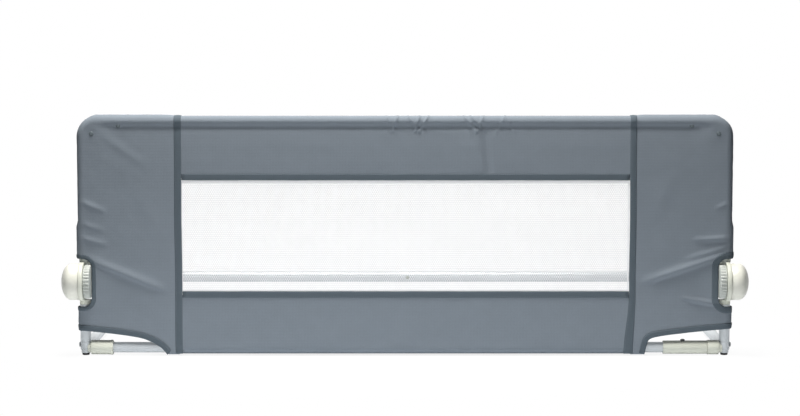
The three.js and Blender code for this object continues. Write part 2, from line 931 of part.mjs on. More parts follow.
function hemCurve(rise) {
  const width = uprightX + clothMid - seamX;
  return hemShares.map(([across, up]) => [seamX + across * width, hemLow + rise + up * (hemHigh - hemLow)]);
}

function hemTool() {
  const curve = hemCurve(0);
  const [outer] = curve[0];
  const outline = outlineOf([...curve, [seamX - overrun, hemLow], [seamX - overrun, -overrun], [outer, -overrun]]);
  return plateXZ(outline, -clothOuter - overrun, clothOuter + overrun);
}

// Tapes and bindings that lie on the front of the cover

function tapePlate(outline) {
  return plateXZ(outline, -tapeMid - tapeThickness / 2, -tapeMid + tapeThickness / 2);
}

function hemBinding() {
  const curve = hemCurve(0).filter(([x]) => x < uprightX);
  const inside = curve.map(([x, z], i) => {
    const [ax, az] = curve[Math.max(i - 1, 0)];
    const [bx, bz] = curve[Math.min(i + 1, curve.length - 1)];
    const normal = new THREE.Vector2(az - bz, bx - ax).normalize().multiplyScalar(-hemWidth);
    return [x + normal.x, z + normal.y];
  });
  return tapePlate(outlineOf([...curve, ...inside.reverse()]));
}

function notchBinding(fromZ, toZ) {
  const whole = without(tapePlate(notchOutline(bindingWidth)), notchTool());
  const kept = block(
    at(seamX, -tapeMid - overrun, fromZ),
    at(uprightX, -tapeMid + overrun, toZ),
  );
  return whole.intersect(kept);
}

function ribbon(path, thickness) {
  const sides = [1, -1].map((way) => path.map(([y, z], i) => {
    const [ay, az] = path[Math.max(i - 1, 0)];
    const [by, bz] = path[Math.min(i + 1, path.length - 1)];
    const normal = new THREE.Vector2(az - bz, by - ay).normalize().multiplyScalar((way * thickness) / 2);
    return [y + normal.x, z + normal.y];
  }));
  return outlineOf([...sides[0], ...sides[1].reverse()]);
}

function arc(centreZ, radius, from, to, steps) {
  const points = [];
  for (let i = 0; i <= steps; i += 1) {
    const angle = THREE.MathUtils.degToRad(from + ((to - from) * i) / steps);
    points.push([-radius * Math.cos(angle), centreZ + radius * Math.sin(angle)]);
  }
  return points;
}

function upperSeamTape() {
  const path = [
    [-tapeMid, foldZ + foldGap / 2],
    [-tapeMid, topTubeZ],
    ...arc(topTubeZ, tapeMid / Math.cos(Math.PI / rimSteps / 2), 15, 165, 10),
    [tapeMid, topTubeZ],
  ];
  return plateYZ(ribbon(path, tapeThickness), seamX - tapeWidth / 2, seamX + tapeWidth / 2);
}

function lowerSeamTape() {
  return tapePlate(rectangle(seamX - tapeWidth / 2, seamX + tapeWidth / 2, hemLow, foldZ - foldGap / 2));
}

function windowTape(edgeZ) {
  const half = seamX - tapeWidth / 2 - seamGap;
  return tapePlate(rectangle(-half, half, edgeZ - tapeWidth / 2, edgeZ + tapeWidth / 2));
}

// Centre of the cover: a casing round the top tube, and a skirt round the front cross tube

function topPanel() {
  const half = seamX - seamGap / 2;
  const pinch = topTubeZ - pinchDrop;
  const path = [
    [-clothMid, windowHigh],
    [-clothMid, pinch - pinchReach],
    [-clothMid + pinchInset, pinch],
    ...arc(topTubeZ, clothMid, -40, 235, 15),
    [-clothMid + pinchInset + clothThickness + seatGap * 2, pinch - clothThickness],
  ];
  return plateYZ(ribbon(path, clothThickness), -half, half);
}

function lowerFrontPanel() {
  const half = seamX - seamGap / 2;
  const path = [
    [-clothMid, windowLow - seamGap],
    ...arc(floorTubeZ, clothMid, 0, -205, 12),
    [-clothMid + clothThickness + seatGap * 2, floorTubeZ + casingRise],
  ];
  return plateYZ(ribbon(path, clothThickness), -half, half);
}

function net(fromZ, toZ, rows) {
  const half = seamX - seamGap / 2;
  const [bottom, top] = netOpening(fromZ, toZ);
  const cellX = (half * 2 - netMargin * 2 + netStrand) / netColumns;
  const cellZ = (top - bottom + netStrand) / rows;
  const strand = (fromX, toX, low, high) => (
    block(at(fromX, -clothInner - netThickness, low), at(toX, -clothInner, high))
  );
  const strands = [
    strand(-half, half, fromZ, bottom),
    strand(-half, half, top, toZ),
    strand(-half, netMargin - half, fromZ, toZ),
    strand(half - netMargin, half, fromZ, toZ),
  ];
  for (let i = 1; i < netColumns; i += 1) {
    const x = netMargin - half + i * cellX;
    strands.push(strand(x - netStrand, x, fromZ, toZ));
  }
  for (let j = 1; j < rows; j += 1) {
    const z = bottom + j * cellZ;
    strands.push(strand(-half, half, z - netStrand, z));
  }
  return joined(...strands);
}

// The net's hem is wide where it is sewn to the cloth, and one strand wide at the fold

function netOpening(fromZ, toZ) {
  const upper = fromZ > foldZ;
  return upper ? [fromZ + netStrand / 2, toZ - netMargin] : [fromZ + netMargin, toZ - netStrand / 2];
}

function coverStud(share) {
  const [across, up] = share;
  const place = at(seamX + across * (uprightX - seamX), 0, up * topTubeZ);
  return bar(Y, studRadius, -clothOuter - seatGap - studHeight, -clothOuter - seatGap, place, smallSides);
}

// Materials

function plain(color, roughness, metalness) {
  return new THREE.MeshStandardMaterial({ color, roughness, metalness });
}

function coverCloth() {
  return plain(0x737f89, 0.9, 0);
}

function tapeCloth() {
  return plain(0x58646b, 0.9, 0);
}

function whiteNet() {
  return plain(0xf7f7f9, 0.85, 0);
}

function paintedSteel() {
  return plain(0xbbc1c4, 0.4, 0.5);
}

function bareSteel() {
  return plain(0x9a9da0, 0.35, 0.9);
}

function creamPlastic() {
  return plain(0xd6d7cd, 0.45, 0);
}

function palePlastic() {
  return plain(0xe4e5df, 0.35, 0);
}

function greyPlastic() {
  return plain(0xb4b6b0, 0.5, 0);
}

function blackPlastic() {
  return plain(0x2a2c2e, 0.5, 0);
}

function rubber() {
  return plain(0x2e3032, 0.8, 0);
}

// Assembly

const sides = [['left', leftSide], ['right', rightSide]];
const upperNet = [foldZ + foldGap / 2, windowHigh - seamGap];
const lowerNet = [windowLow, foldZ - foldGap / 2];

function addPiece(group, name, solid, material, side = rightSide) {
  const mesh = new THREE.Mesh(geometryOf(solid, side), material);
  mesh.name = name;
  group.add(mesh);
}

function hubGroup(side) {
  const group = new THREE.Group();
  group.position.set(side * uprightX, foldAxisY, foldZ);
  return group;
}

function baseFrame() {
  const group = new THREE.Group();
  for (const [word, side] of sides) {
    const corner = side === leftSide ? cornerFittingLeft() : cornerFittingRight();
    addPiece(group, `corner_fitting_${word}`, corner, creamPlastic(), side);
    addPiece(group, `corner_screw_${word}`, cornerScrew(), bareSteel(), side);
    addPiece(group, `foot_pad_${word}`, footPad(), rubber(), side);
    addPiece(group, `lower_upright_${word}`, lowerUpright(), paintedSteel(), side);
    addPiece(group, `under_mattress_arm_${word}`, underMattressArm(), paintedSteel(), side);
    addPiece(group, `arm_end_cap_${word}`, armEndCap(), blackPlastic(), side);
    const hub = hubGroup(side);
    addPiece(hub, `hinge_base_${word}`, hingeBase(), creamPlastic(), side);
    addPiece(hub, `hinge_rivet_${word}`, hingeRivet(), bareSteel(), side);
    group.add(hub);
  }
  addPiece(group, 'front_cross_tube', frontCrossTube(), paintedSteel());
  addPiece(group, 'cross_tube_sleeve', crossTubeSleeve(), creamPlastic());
  return group;
}

function guardFrame() {
  const group = new THREE.Group();
  for (const [word, side] of sides) {
    const hub = hubGroup(side);
    addPiece(hub, `hinge_arm_${word}`, hingeArm(), greyPlastic(), side);
    group.add(hub);
    const joint = side * topJointX + seatGap / 2;
    addPiece(group, `upper_tube_${word}`, bentTube(joint), paintedSteel(), side);
  }
  addPiece(group, 'top_coupler', topCoupler(), paintedSteel());
  addPiece(group, 'crossbar_left', crossbarLeft(), paintedSteel());
  addPiece(group, 'crossbar_right', crossbarRight(), paintedSteel());
  addPiece(group, 'crossbar_coupler', crossbarCoupler(), paintedSteel());
  return group;
}

function lowerCover() {
  const group = new THREE.Group();
  for (const [word, side] of sides) {
    addPiece(group, `lower_side_panel_${word}`, lowerSidePanel(side), coverCloth(), side);
    addPiece(group, `lower_seam_tape_${word}`, lowerSeamTape(), tapeCloth(), side);
    addPiece(group, `hem_binding_${word}`, hemBinding(), tapeCloth(), side);
    const binding = notchBinding(notchLow - bindingWidth - overrun, foldZ - foldGap / 2);
    addPiece(group, `lower_notch_binding_${word}`, binding, tapeCloth(), side);
  }
  addPiece(group, 'lower_front_panel', lowerFrontPanel(), coverCloth());
  addPiece(group, 'lower_window_net', net(...lowerNet, 1), whiteNet());
  addPiece(group, 'lower_window_tape', windowTape(windowLow), tapeCloth());
  return group;
}

function upperCover() {
  const group = new THREE.Group();
  for (const [word, side] of sides) {
    addPiece(group, `upper_side_panel_${word}`, upperSidePanel(side), coverCloth(), side);
    addPiece(group, `upper_seam_tape_${word}`, upperSeamTape(), tapeCloth(), side);
    const binding = notchBinding(foldZ + foldGap / 2, notchHigh + bindingWidth + overrun);
    addPiece(group, `upper_notch_binding_${word}`, binding, tapeCloth(), side);
    addPiece(group, `side_stud_${word}`, coverStud(studShares[0]), bareSteel(), side);
    addPiece(group, `top_stud_${word}`, coverStud(studShares[1]), bareSteel(), side);
  }
  addPiece(group, 'top_panel', topPanel(), coverCloth());
  addPiece(group, 'upper_window_net', net(...upperNet, netRows), whiteNet());
  addPiece(group, 'upper_window_tape', windowTape(windowHigh), tapeCloth());
  return group;
}

function buttons() {
  const group = new THREE.Group();
  for (const [word, side] of sides) {
    const hub = hubGroup(side);
    addPiece(hub, `release_button_${word}`, releaseButton(), palePlastic(), side);
    addPiece(hub, `lock_ring_${word}`, lockRing(), greyPlastic(), side);
    addPiece(hub, `release_spring_${word}`, releaseSpring(), bareSteel(), side);
    group.add(hub);
  }
  addPiece(group, 'sleeve_button', sleeveButton(), blackPlastic());
  addPiece(group, 'crossbar_button', crossbarButton(), bareSteel());
  return group;
}

const rail = new THREE.Group();
const frontReach = foldOffset + shroudRadius;
rail.position.y = (frontReach - armReach) / 2;
rail.add(baseFrame(), guardFrame(), lowerCover(), upperCover(), buttons());

export default rail;
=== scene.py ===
"""Folding bed guard rail: the cloth, tubes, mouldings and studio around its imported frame.

Shapes are drawn in millimetres, with x from the middle of the rail, y from the plane of the
tubes and z from the floor, and are turned to metres when a piece is finished. What comes in
pairs is drawn for the right side and mirrored for the left.
"""

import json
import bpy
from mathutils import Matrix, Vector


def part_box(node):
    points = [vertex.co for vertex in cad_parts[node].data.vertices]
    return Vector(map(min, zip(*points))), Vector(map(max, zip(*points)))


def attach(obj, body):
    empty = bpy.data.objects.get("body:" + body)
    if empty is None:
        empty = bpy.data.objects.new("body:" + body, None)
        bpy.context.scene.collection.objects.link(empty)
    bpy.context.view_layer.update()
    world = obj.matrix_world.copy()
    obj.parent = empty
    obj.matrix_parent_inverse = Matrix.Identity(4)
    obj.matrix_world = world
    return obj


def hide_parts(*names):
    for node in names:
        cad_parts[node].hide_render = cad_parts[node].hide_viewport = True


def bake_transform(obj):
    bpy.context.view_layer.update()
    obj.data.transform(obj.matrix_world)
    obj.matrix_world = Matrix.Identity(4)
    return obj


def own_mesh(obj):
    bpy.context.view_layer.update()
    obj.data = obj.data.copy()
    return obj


bl_info = {
    "name": "Folding Bed Guard Rail",
    "version": (1, 0, 0),
    "blender": (4, 5, 0),
    "location": "3D View > Sidebar > Guard Rail",
    "description": "Dresses the frame of a folding bed guard rail in cloth, net, steel and plastic",
    "category": "Add Mesh",
}

from math import atan2, ceil, cos, dist, exp, pi, radians, sin, sqrt, tau

import bmesh
import bpy
from bmesh.types import BMEdge, BMVert
from bpy.props import FloatProperty, FloatVectorProperty, PointerProperty
from bpy.types import Operator, Panel, PropertyGroup
from mathutils import Matrix, Vector, noise

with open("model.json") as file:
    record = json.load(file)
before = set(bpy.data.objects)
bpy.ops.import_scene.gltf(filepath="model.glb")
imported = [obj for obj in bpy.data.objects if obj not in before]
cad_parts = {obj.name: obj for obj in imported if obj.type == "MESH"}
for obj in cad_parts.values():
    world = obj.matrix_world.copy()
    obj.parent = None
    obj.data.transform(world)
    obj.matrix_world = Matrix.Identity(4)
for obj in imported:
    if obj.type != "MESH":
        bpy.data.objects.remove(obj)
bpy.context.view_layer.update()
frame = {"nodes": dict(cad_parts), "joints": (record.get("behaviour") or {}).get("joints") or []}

MM = 0.001
LEFT, RIGHT = -1, 1
SIDES = {LEFT: "left", RIGHT: "right"}
BASE, GUARD = "base_frame", "guard_frame"
X_AXIS, Y_AXIS, Z_AXIS = Vector((1, 0, 0)), Vector((0, 1, 0)), Vector((0, 0, 1))


def node_box(name):
    """Lowest and highest corner of a CAD node, in millimetres."""
    low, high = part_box(name)
    return low / MM, high / MM


def node_middle(name):
    """Middle of a CAD node's box, in millimetres."""
    low, high = node_box(name)
    return (low + high) / 2


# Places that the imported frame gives

UPRIGHT_LOW, UPRIGHT_HIGH = node_box("lower_upright_right")
PLANE_Y = (UPRIGHT_LOW.y + UPRIGHT_HIGH.y) / 2
UPRIGHT_X = (UPRIGHT_LOW.x + UPRIGHT_HIGH.x) / 2
TUBE = (UPRIGHT_HIGH.x - UPRIGHT_LOW.x) / 2
UPPER_LOW, UPPER_HIGH = node_box("upper_tube_right")
TOP_Z = UPPER_HIGH.z - TUBE
CROSS_LOW, CROSS_HIGH = node_box("front_cross_tube")
CROSS_Z = (CROSS_LOW.z + CROSS_HIGH.z) / 2
BAR_LOW, BAR_HIGH = node_box("crossbar_right")
BAR_LEFT_LOW, BAR_LEFT_HIGH = node_box("crossbar_left")
BAR_Z = (BAR_LEFT_LOW.z + BAR_LEFT_HIGH.z) / 2
FOLD = next(joint for joint in frame["joints"] if joint["name"] == "guard_fold")
FOLD_Y = FOLD["pos_m"][1] / MM - PLANE_Y
FOLD_Z = FOLD["pos_m"][2] / MM
HUB = (UPRIGHT_X, FOLD_Y, FOLD_Z)
SEAM_LOW, SEAM_HIGH = node_box("upper_seam_tape_right")
SEAM_X = (SEAM_LOW.x + SEAM_HIGH.x) / 2
WINDOW_HIGH = sum(corner.z for corner in node_box("upper_window_tape")) / 2
WINDOW_LOW = sum(corner.z for corner in node_box("lower_window_tape")) / 2

# Radius and centre of the upper tubes' bend, the tubes' wall, and the radius of the fittings' necks

BEND = 26.0
CORNER_X, CORNER_Z = UPRIGHT_X - BEND, TOP_Z - BEND
TUBE_WALL = 1.2
NECK = 9.5

# The cloth: how far its outer face is from the tubes' plane, its way half round a tube, and the
# thickness of cloth and tapes

CLOTH = 11.2
HALF_TURN = pi * CLOTH
CLOTH_THICK, TAPE_THICK, BINDING_THICK = 1.1, 0.7, 0.6

# The cover's cut: its notch, the seam below the top casing, the upper edge of the flap behind the
# lower upright, a side panel laid out flat in metres, and the hem

NOTCH_X, NOTCH_LOW, NOTCH_HIGH, NOTCH_CORNER = 547.5, 86.0, 171.0, 15.0
CASING_Z = TOP_Z - 13.5
BACK_FLAP = 98.0
SIDE_FLAT = (0.355, 0.455)
HEM_LOW, HEM_HIGH = 2.5, 42.0
HEM_WIDTH = UPRIGHT_X + 10.55 - SEAM_X

# The lower edge of a side panel: shares of the hem's width and height, from the rim to the seam
HEM = {
    LEFT: [(1.1, 1.13), (0.944, 1.075), (0.762, 0.995), (0.642, 0.934), (0.521, 0.863),
           (0.401, 0.774), (0.344, 0.711), (0.281, 0.6), (0.223, 0.47), (0.165, 0.29),
           (0.13, 0.12), (0.11, 0)],
    RIGHT: [(1.1, 1.18), (0.94, 1.155), (0.88, 1.125), (0.76, 1.085), (0.7, 1.055), (0.58, 1.0),
            (0.5, 0.955), (0.4, 0.905), (0.3, 0.84), (0.23, 0.78), (0.19, 0.72), (0.165, 0.64),
            (0.15, 0.47), (0.137, 0.22), (0.127, 0)],
}

# How deep the cloth lies below the top tube: millimetres below the tube's axis, and depth
CASING_FALL = ((0, 0), (2, 0.6), (4, 1.5), (6, 2.7), (7.5, 3.6), (9, 3.9), (11, 3.7), (15, 2.8),
               (22, 1.8), (40, 0.7), (70, 0))

# Creases of the side panels: from, to, lift, width above and width below the ridge
CREASES = {
    LEFT: [
        ((586, 279), (520, 252), 2.3, 8, 6),
        ((582, 237), (524, 220), 1.7, 8, 6),
        ((586, 213), (520, 195), 2.4, 9, 7),
        ((560, 173), (415, 113), 4.2, 13, 8),
        ((532, 391), (452, 334), 0.9, 13, 13),
        ((470, 300), (425, 200), 0.6, 22, 22),
    ],
    RIGHT: [
        ((584, 275), (540, 258), 2.0, 6, 5),
        ((588, 208), (500, 204), 3.6, 7, 6),
        ((580, 198), (486, 168), 2.6, 8, 7),
        ((572, 182), (412, 128), 5.4, 12, 7),
        ((480, 104), (556, 89), 4.0, 7, 7),
        ((470, 330), (430, 230), 0.6, 22, 22),
    ],
}

# Wrinkles of the casing: place across, height, and the lean for every millimetre down
WRINKLES = ((-26, 1.2, 0.5), (-17, 1.5, -0.4), (13, 1.6, 0.7), (22, 1.9, -0.3), (34, 1.7, -0.6),
            (111, 1.7, 0.8), (124, 1.9, 0.9), (132, 1.5, -0.4), (168, 1.0, -0.5), (181, 1.0, 0.5))

# Where the seam tapes lie, half the width of each tape, and how far each binding reaches in

TAPE_X = {LEFT: 395.8, RIGHT: 397.6}
TAPE_HALF = {LEFT: 6.2, RIGHT: 5.6}
WINDOW_TAPE_HALF = 5.6
NOTCH_TAPE = {LEFT: 7.0, RIGHT: 11.0}
HEM_TAPE = 9.0

# Lengths of the tapes laid out flat, in metres

SEAM_TAPE_LENGTH, HEM_TAPE_LENGTH, NOTCH_TAPE_LENGTH = 0.44, 0.17, 0.33
WINDOW_TAPE_LENGTH = 2 * (SEAM_X - 6.5) * MM  # from one seam tape's inner edge to the other's

# How far in from a tape's edge the stitches run

STITCH_INSET = 1.5

# The release spring: its two ends from the upright's axis, and how far the button presses it

SPRING_LOW, SPRING_HIGH, SPRING_TRAVEL = 11.9, 34.9, 4.8


# Small helpers for shapes


def smooth_step(share):
    """Eases a share from 0 to 1."""
    share = min(max(share, 0.0), 1.0)
    return share * share * (3 - 2 * share)


def hump(value, low, high, fade):
    """1 between low and high, fading to 0 on both sides."""
    return smooth_step((value - low + fade) / fade) * smooth_step((high + fade - value) / fade)


def bell(share):
    """A bell curve, 1 at 0."""
    return exp(-(share ** 2))


def waves(x, y, z):
    """Smooth unevenness between -1 and 1, the same in each run."""
    return noise.noise(Vector((x, y, z)))


def stations(start, *runs):
    """Evenly spread places from start on, given each next end and the widest spacing up to it."""
    places = [start]
    for end, spacing in zip(runs[::2], runs[1::2]):
        count = max(1, ceil(abs(end - start) / spacing - 1e-6))
        places += [start + (end - start) * i / count for i in range(1, count + 1)]
        start = end
    return places


def height_at(points, value):
    """Height over a value of the line through sorted points."""
    if value <= points[0][0]:
        return points[0][1]
    for (start, low), (end, high) in zip(points, points[1:]):
        if value <= end:
            return low + (high - low) * (value - start) / (end - start)
    return points[-1][1]


def arc(start, end, spacing, radius, centre):
    """Points of an arc after its first, as (forward, up), from the front round over the top."""
    turns = [radians(degrees) for degrees in stations(start, end, spacing)[1:]]
    return [(-radius * cos(a), centre + radius * sin(a)) for a in turns]


def measured(points):
    """Adds to each point of a path its length so far."""
    run, length = [], 0.0
    for i, point in enumerate(points):
        if i:
            length += dist(point, points[i - 1])
        run.append((*point, length))
    return run


def softened(profile, edge, steps=3):
    """An open profile whose inner corners are rounded to about the given edge."""
    points = [Vector(point) for point in profile]
    soft = [points[0]]
    for before, corner, after in zip(points, points[1:], points[2:]):
        back, ahead = before - corner, after - corner
        reach = min(edge, 0.45 * back.length, 0.45 * ahead.length)
        start = corner + back.normalized() * reach
        end = corner + ahead.normalized() * reach
        for i in range(steps + 1):
            share = i / steps
            soft.append(start.lerp(corner, share).lerp(corner.lerp(end, share), share))
    return soft + [points[-1]]


def turned(profile, axis, centre, steps, edge=0.0, ring=False):
    """A body spun about an axis from (distance along it, radius) points, corners softened."""
    bm = bmesh.new()
    across = Z_AXIS if abs(axis.z) < 0.5 else X_AXIS
    if edge:
        profile = softened(profile, edge)
    verts = [bm.verts.new(Vector(centre) + axis * p[0] + across * p[1]) for p in profile]
    pairs = list(zip(verts, verts[1:])) + ([(verts[-1], verts[0])] if ring else [])
    edges = [bm.edges.new(pair) for pair in pairs]
    bmesh.ops.spin(bm, geom=verts + edges, cent=Vector(centre), axis=axis, dvec=Vector(),
                   angle=tau, steps=steps, use_merge=True, use_duplicate=False)
    return closed(bm)


def closed(bm):
    """Joins a body's doubled points and turns its faces outwards."""
    bmesh.ops.remove_doubles(bm, verts=bm.verts, dist=0.001)
    bmesh.ops.recalc_face_normals(bm, faces=bm.faces)
    return bm


def bar(axis, radius, low, high, centre, edge=0.4, steps=40):
    """A round bar from low to high along an axis, with softened rims."""
    return turned([(low, 0), (low, radius), (high, radius), (high, 0)], axis, centre, steps, edge)


def pipe(axis, outer, inner, low, high, centre, edge=0.4, steps=40):
    """A round pipe with softened rims."""
    middle = (inner + outer) / 2
    profile = softened([(low, middle), (low, outer), (high, outer), (high, inner), (low, inner),
                        (low, middle)], edge)
    return turned(profile[:-1], axis, centre, steps, ring=True)


def tube(axis, low, high, centre, **rims):
    """A straight length of the frame's steel tube."""
    return pipe(axis, TUBE, TUBE - TUBE_WALL, low, high, centre, **rims)


def block(low, high, edge=0.0):
    """A block between two corners, with bevelled edges."""
    bm = bmesh.new()
    bmesh.ops.create_cube(bm, size=1)
    size = Vector(high) - Vector(low)
    bmesh.ops.scale(bm, vec=size, verts=bm.verts)
    bmesh.ops.translate(bm, vec=Vector(low) + size / 2, verts=bm.verts)
    if edge:
        bmesh.ops.bevel(bm, geom=bm.edges[:], offset=edge, offset_type="OFFSET", affect="EDGES",
                        segments=3, profile=0.5, material=-1)
    return bm


def extruded(bm, rim):
    """Grows a skin from a rim of edges: the new points, and the new rim."""
    grown = bmesh.ops.extrude_edge_only(bm, edges=rim)["geom"]
    return ([v for v in grown if isinstance(v, BMVert)],
            [e for e in grown if isinstance(e, BMEdge)])


def together(*parts):
    """Several bodies in one bmesh."""
    whole = bmesh.new()
    for part in parts:
        mesh = bpy.data.meshes.new("part")
        part.to_mesh(mesh)
        part.free()
        whole.from_mesh(mesh)
        bpy.data.meshes.remove(mesh)
    return whole


def on_side(bm, side):
    """A body drawn for the right side, put on the given side."""
    if side == LEFT:
        bmesh.ops.scale(bm, vec=(-1, 1, 1), verts=bm.verts)
        bmesh.ops.reverse_faces(bm, faces=bm.faces)
    return bm


def as_object(bm, name):
    """An object of the scene with the shape of bm."""
    mesh = bpy.data.meshes.new(name)
    bm.to_mesh(mesh)
    bm.free()
    shape = bpy.data.objects.new(name, mesh)
    bpy.context.scene.collection.objects.link(shape)
    return shape


def removed(shape):
    """Takes an object and its mesh out of the file."""
    mesh = shape.data
    bpy.data.objects.remove(shape)
    bpy.data.meshes.remove(mesh)


def applied(shape):
    """The shape's mesh with its modifiers applied, as a bmesh; the shape is removed."""
    graph = bpy.context.evaluated_depsgraph_get()
    mesh = bpy.data.meshes.new_from_object(shape.evaluated_get(graph))
    bm = bmesh.new()
    bm.from_mesh(mesh)
    removed(shape)
    bpy.data.meshes.remove(mesh)
    return bm


def cut(bm, *tools):
    """bm without its tools."""
    for tool_mesh in tools:
        shape, tool = as_object(bm, "cut_body"), as_object(tool_mesh, "cut_tool")
        modifier = shape.modifiers.new("Cut", "BOOLEAN")
        modifier.operation, modifier.solver, modifier.object = "DIFFERENCE", "EXACT", tool
        bm = applied(shape)
        removed(tool)
    return bm


def sheet_cells(bm, across, up, place, unrolled):
    """Adds a sheet of cells to bm: place gives each crossing's point, unrolled its flat place."""
    uv = bm.loops.layers.uv.get("UVMap") or bm.loops.layers.uv.new("UVMap")
    made = bmesh.ops.create_grid(bm, x_segments=len(across) - 1, y_segments=len(up) - 1, size=1)
    flat = {}
    for vert in made["verts"]:
        i = round((vert.co.x + 1) / 2 * (len(across) - 1))
        j = round((vert.co.y + 1) / 2 * (len(up) - 1))
        flat[vert] = (across[i], up[j])
    for vert, spot in flat.items():
        vert.co = place(*spot)
        for loop in vert.link_loops:
            loop[uv].uv = Vector(unrolled(*spot)) * MM


def area_of(bm):
    """A sheet's area in square metres."""
    return sum(face.calc_area() for face in bm.faces) * MM * MM


# Materials


def linear(hex_colour):
    """An sRGB hex colour as the linear red, green, blue and alpha that Blender reads."""
    channels = [int(hex_colour[i:i + 2], 16) / 255 for i in (1, 3, 5)]
    return [c / 12.92 if c <= 0.04045 else ((c + 0.055) / 1.055) ** 2.4 for c in channels] + [1.0]


def add_node(tree, kind, inputs=None, **settings):
    """Adds a shader node with its settings, values and links."""
    node = tree.nodes.new(kind)
    for name, value in settings.items():
        setattr(node, name, value)
    for name, value in (inputs or {}).items():
        if isinstance(value, bpy.types.NodeSocket):
            tree.links.new(value, node.inputs[name])
        else:
            node.inputs[name].default_value = value
    return node


def object_place(tree):
    """The place on the object, in metres."""
    return add_node(tree, "ShaderNodeTexCoord").outputs["Object"]


def clouds(tree, place, scale, detail=2.0, distortion=0.0, roughness=0.5):
    """A cloudy pattern, whose scale counts its clouds in a metre."""
    return add_node(tree, "ShaderNodeTexNoise", {
        "Vector": place, "Scale": scale, "Detail": detail, "Distortion": distortion,
        "Roughness": roughness}).outputs[0]


def ranged(tree, value, start, end, low, high, **settings):
    """A value's run from start to end, turned to one from low to high."""
    return add_node(tree, "ShaderNodeMapRange", {
        "Value": value, "From Min": start, "From Max": end, "To Min": low, "To Max": high},
        **settings).outputs[0]


def joined(tree, operation, first, second, **settings):
    """Two values joined by a sum, a product or the like."""
    return add_node(tree, "ShaderNodeMath", {0: first, 1: second}, operation=operation,
                    **settings).outputs[0]


def new_finish(name, **values):
    """A material and its Principled shader with these values, ready for its patterns."""
    finish = bpy.data.materials.new(name)
    finish.use_nodes = True
    shader = finish.node_tree.nodes["Principled BSDF"]
    for socket, value in values.items():
        shader.inputs[socket.replace("_", " ")].default_value = value
    return finish, finish.node_tree, shader


def shaded(tree, shader, colour, factor, darker):
    """Mixes a colour towards a darker tone of itself by a pattern."""
    dark = [channel * darker for channel in colour[:3]] + [1.0]
    mix = add_node(tree, "ShaderNodeMix", {0: factor, 6: list(colour[:3]) + [1.0], 7: dark},
                   data_type="RGBA")
    tree.links.new(mix.outputs[2], shader.inputs["Base Color"])


def bumped(tree, shader, height, strength, depth):
    """Raises a pattern by a depth in millimetres."""
    bump = add_node(tree, "ShaderNodeBump", {"Height": height, "Strength": strength,
                                             "Distance": depth * MM})
    tree.links.new(bump.outputs[0], shader.inputs["Normal"])


def woven_finish(name, colour, thread, mottle):
    """Plain-woven polyester: over and under threads with painted shade in the gaps between them,
    slightly uneven dye, and a soft sheen.
    """
    finish, tree, shader = new_finish(name, Roughness=0.85, IOR=1.45, Specular_IOR_Level=0.04,
                                      Sheen_Weight=0.02, Sheen_Roughness=0.45)
    place = add_node(tree, "ShaderNodeUVMap", uv_map="UVMap").outputs[0]
    pairs = 1000 / thread / 2
    bands_in_a_unit = 3.18
    warp, weft = (add_node(tree, "ShaderNodeTexWave", {
        "Vector": place, "Scale": pairs / bands_in_a_unit, "Distortion": 0.6, "Detail": 1.0},
        bands_direction=way).outputs[1] for way in "XY")
    over = add_node(tree, "ShaderNodeTexChecker", {"Vector": place, "Scale": pairs * 2})
    weave = add_node(tree, "ShaderNodeMix", {0: over.outputs[1], 2: warp, 3: weft},
                     data_type="FLOAT").outputs[0]
    uneven = joined(tree, "ADD", clouds(tree, place, 38.0, detail=4.0, roughness=0.62),
                    clouds(tree, place, 420.0))
    dye = ranged(tree, uneven, 0.7, 1.3, 0.0, mottle)
    # Painted shade: the low parts of the weave, the gaps between threads, are mixed towards a
    # darker tone
    gap_shade = ranged(tree, weave, 0.0, 1.0, 0.25, 0.0)
    shaded(tree, shader, colour, joined(tree, "ADD", dye, gap_shade, use_clamp=True), darker=0.62)
    bumped(tree, shader, weave, strength=0.35, depth=0.25)
    return finish


def moulded_finish(name, colour, roughness, grain=0.35, darker=0.8):
    """Injection-moulded plastic: even colour, a fine spark-eroded grain and slight flow marks."""
    finish, tree, shader = new_finish(name, IOR=1.52)
    place = object_place(tree)
    flow = clouds(tree, place, 45.0, detail=3.0, distortion=0.8)
    shaded(tree, shader, colour, ranged(tree, flow, 0.4, 0.75, 0.0, 0.3), darker)
    gloss = ranged(tree, flow, 0.3, 0.7, roughness - 0.05, roughness + 0.07)
    tree.links.new(gloss, shader.inputs["Roughness"])
    bumped(tree, shader, clouds(tree, place, 1400.0), grain, depth=0.05)
    return finish


def powder_coat_finish(name, colour):
    """Silver powder coat on steel tube: metal flake in a clear resin with a light orange peel."""
    finish, tree, shader = new_finish(name, Roughness=0.42, Metallic=0.35)
    place = object_place(tree)
    flake = add_node(tree, "ShaderNodeTexVoronoi", {"Vector": place, "Scale": 900.0})
    glint = ranged(tree, flake.outputs["Color"], 0.0, 1.0, 0.0, 0.35)
    shaded(tree, shader, colour, glint, darker=0.72)
    bumped(tree, shader, clouds(tree, place, 380.0), strength=0.25, depth=0.08)
    return finish


def metal_finish(name, colour, roughness, scratch):
    """Plated steel: bright metal with fine drawing lines and duller patches."""
    finish, tree, shader = new_finish(name, Metallic=1.0)
    lines = clouds(tree, object_place(tree), scratch, detail=3.0, distortion=0.3)
    dull = ranged(tree, lines, 0.35, 0.7, roughness - 0.08, roughness + 0.15)
    shaded(tree, shader, colour, lines, darker=0.8)
    tree.links.new(dull, shader.inputs["Roughness"])
    bumped(tree, shader, lines, strength=0.2, depth=0.03)
    return finish


def dull_finish(name, colour, roughness, scale, detail, darker, depth):
    """A dull material with one cloudy pattern in its colour and on its surface."""
    finish, tree, shader = new_finish(name, Roughness=roughness, IOR=1.5)
    pattern = clouds(tree, object_place(tree), scale, detail)
    shaded(tree, shader, colour, pattern, darker)
    bumped(tree, shader, pattern, strength=0.3, depth=depth)
    return finish


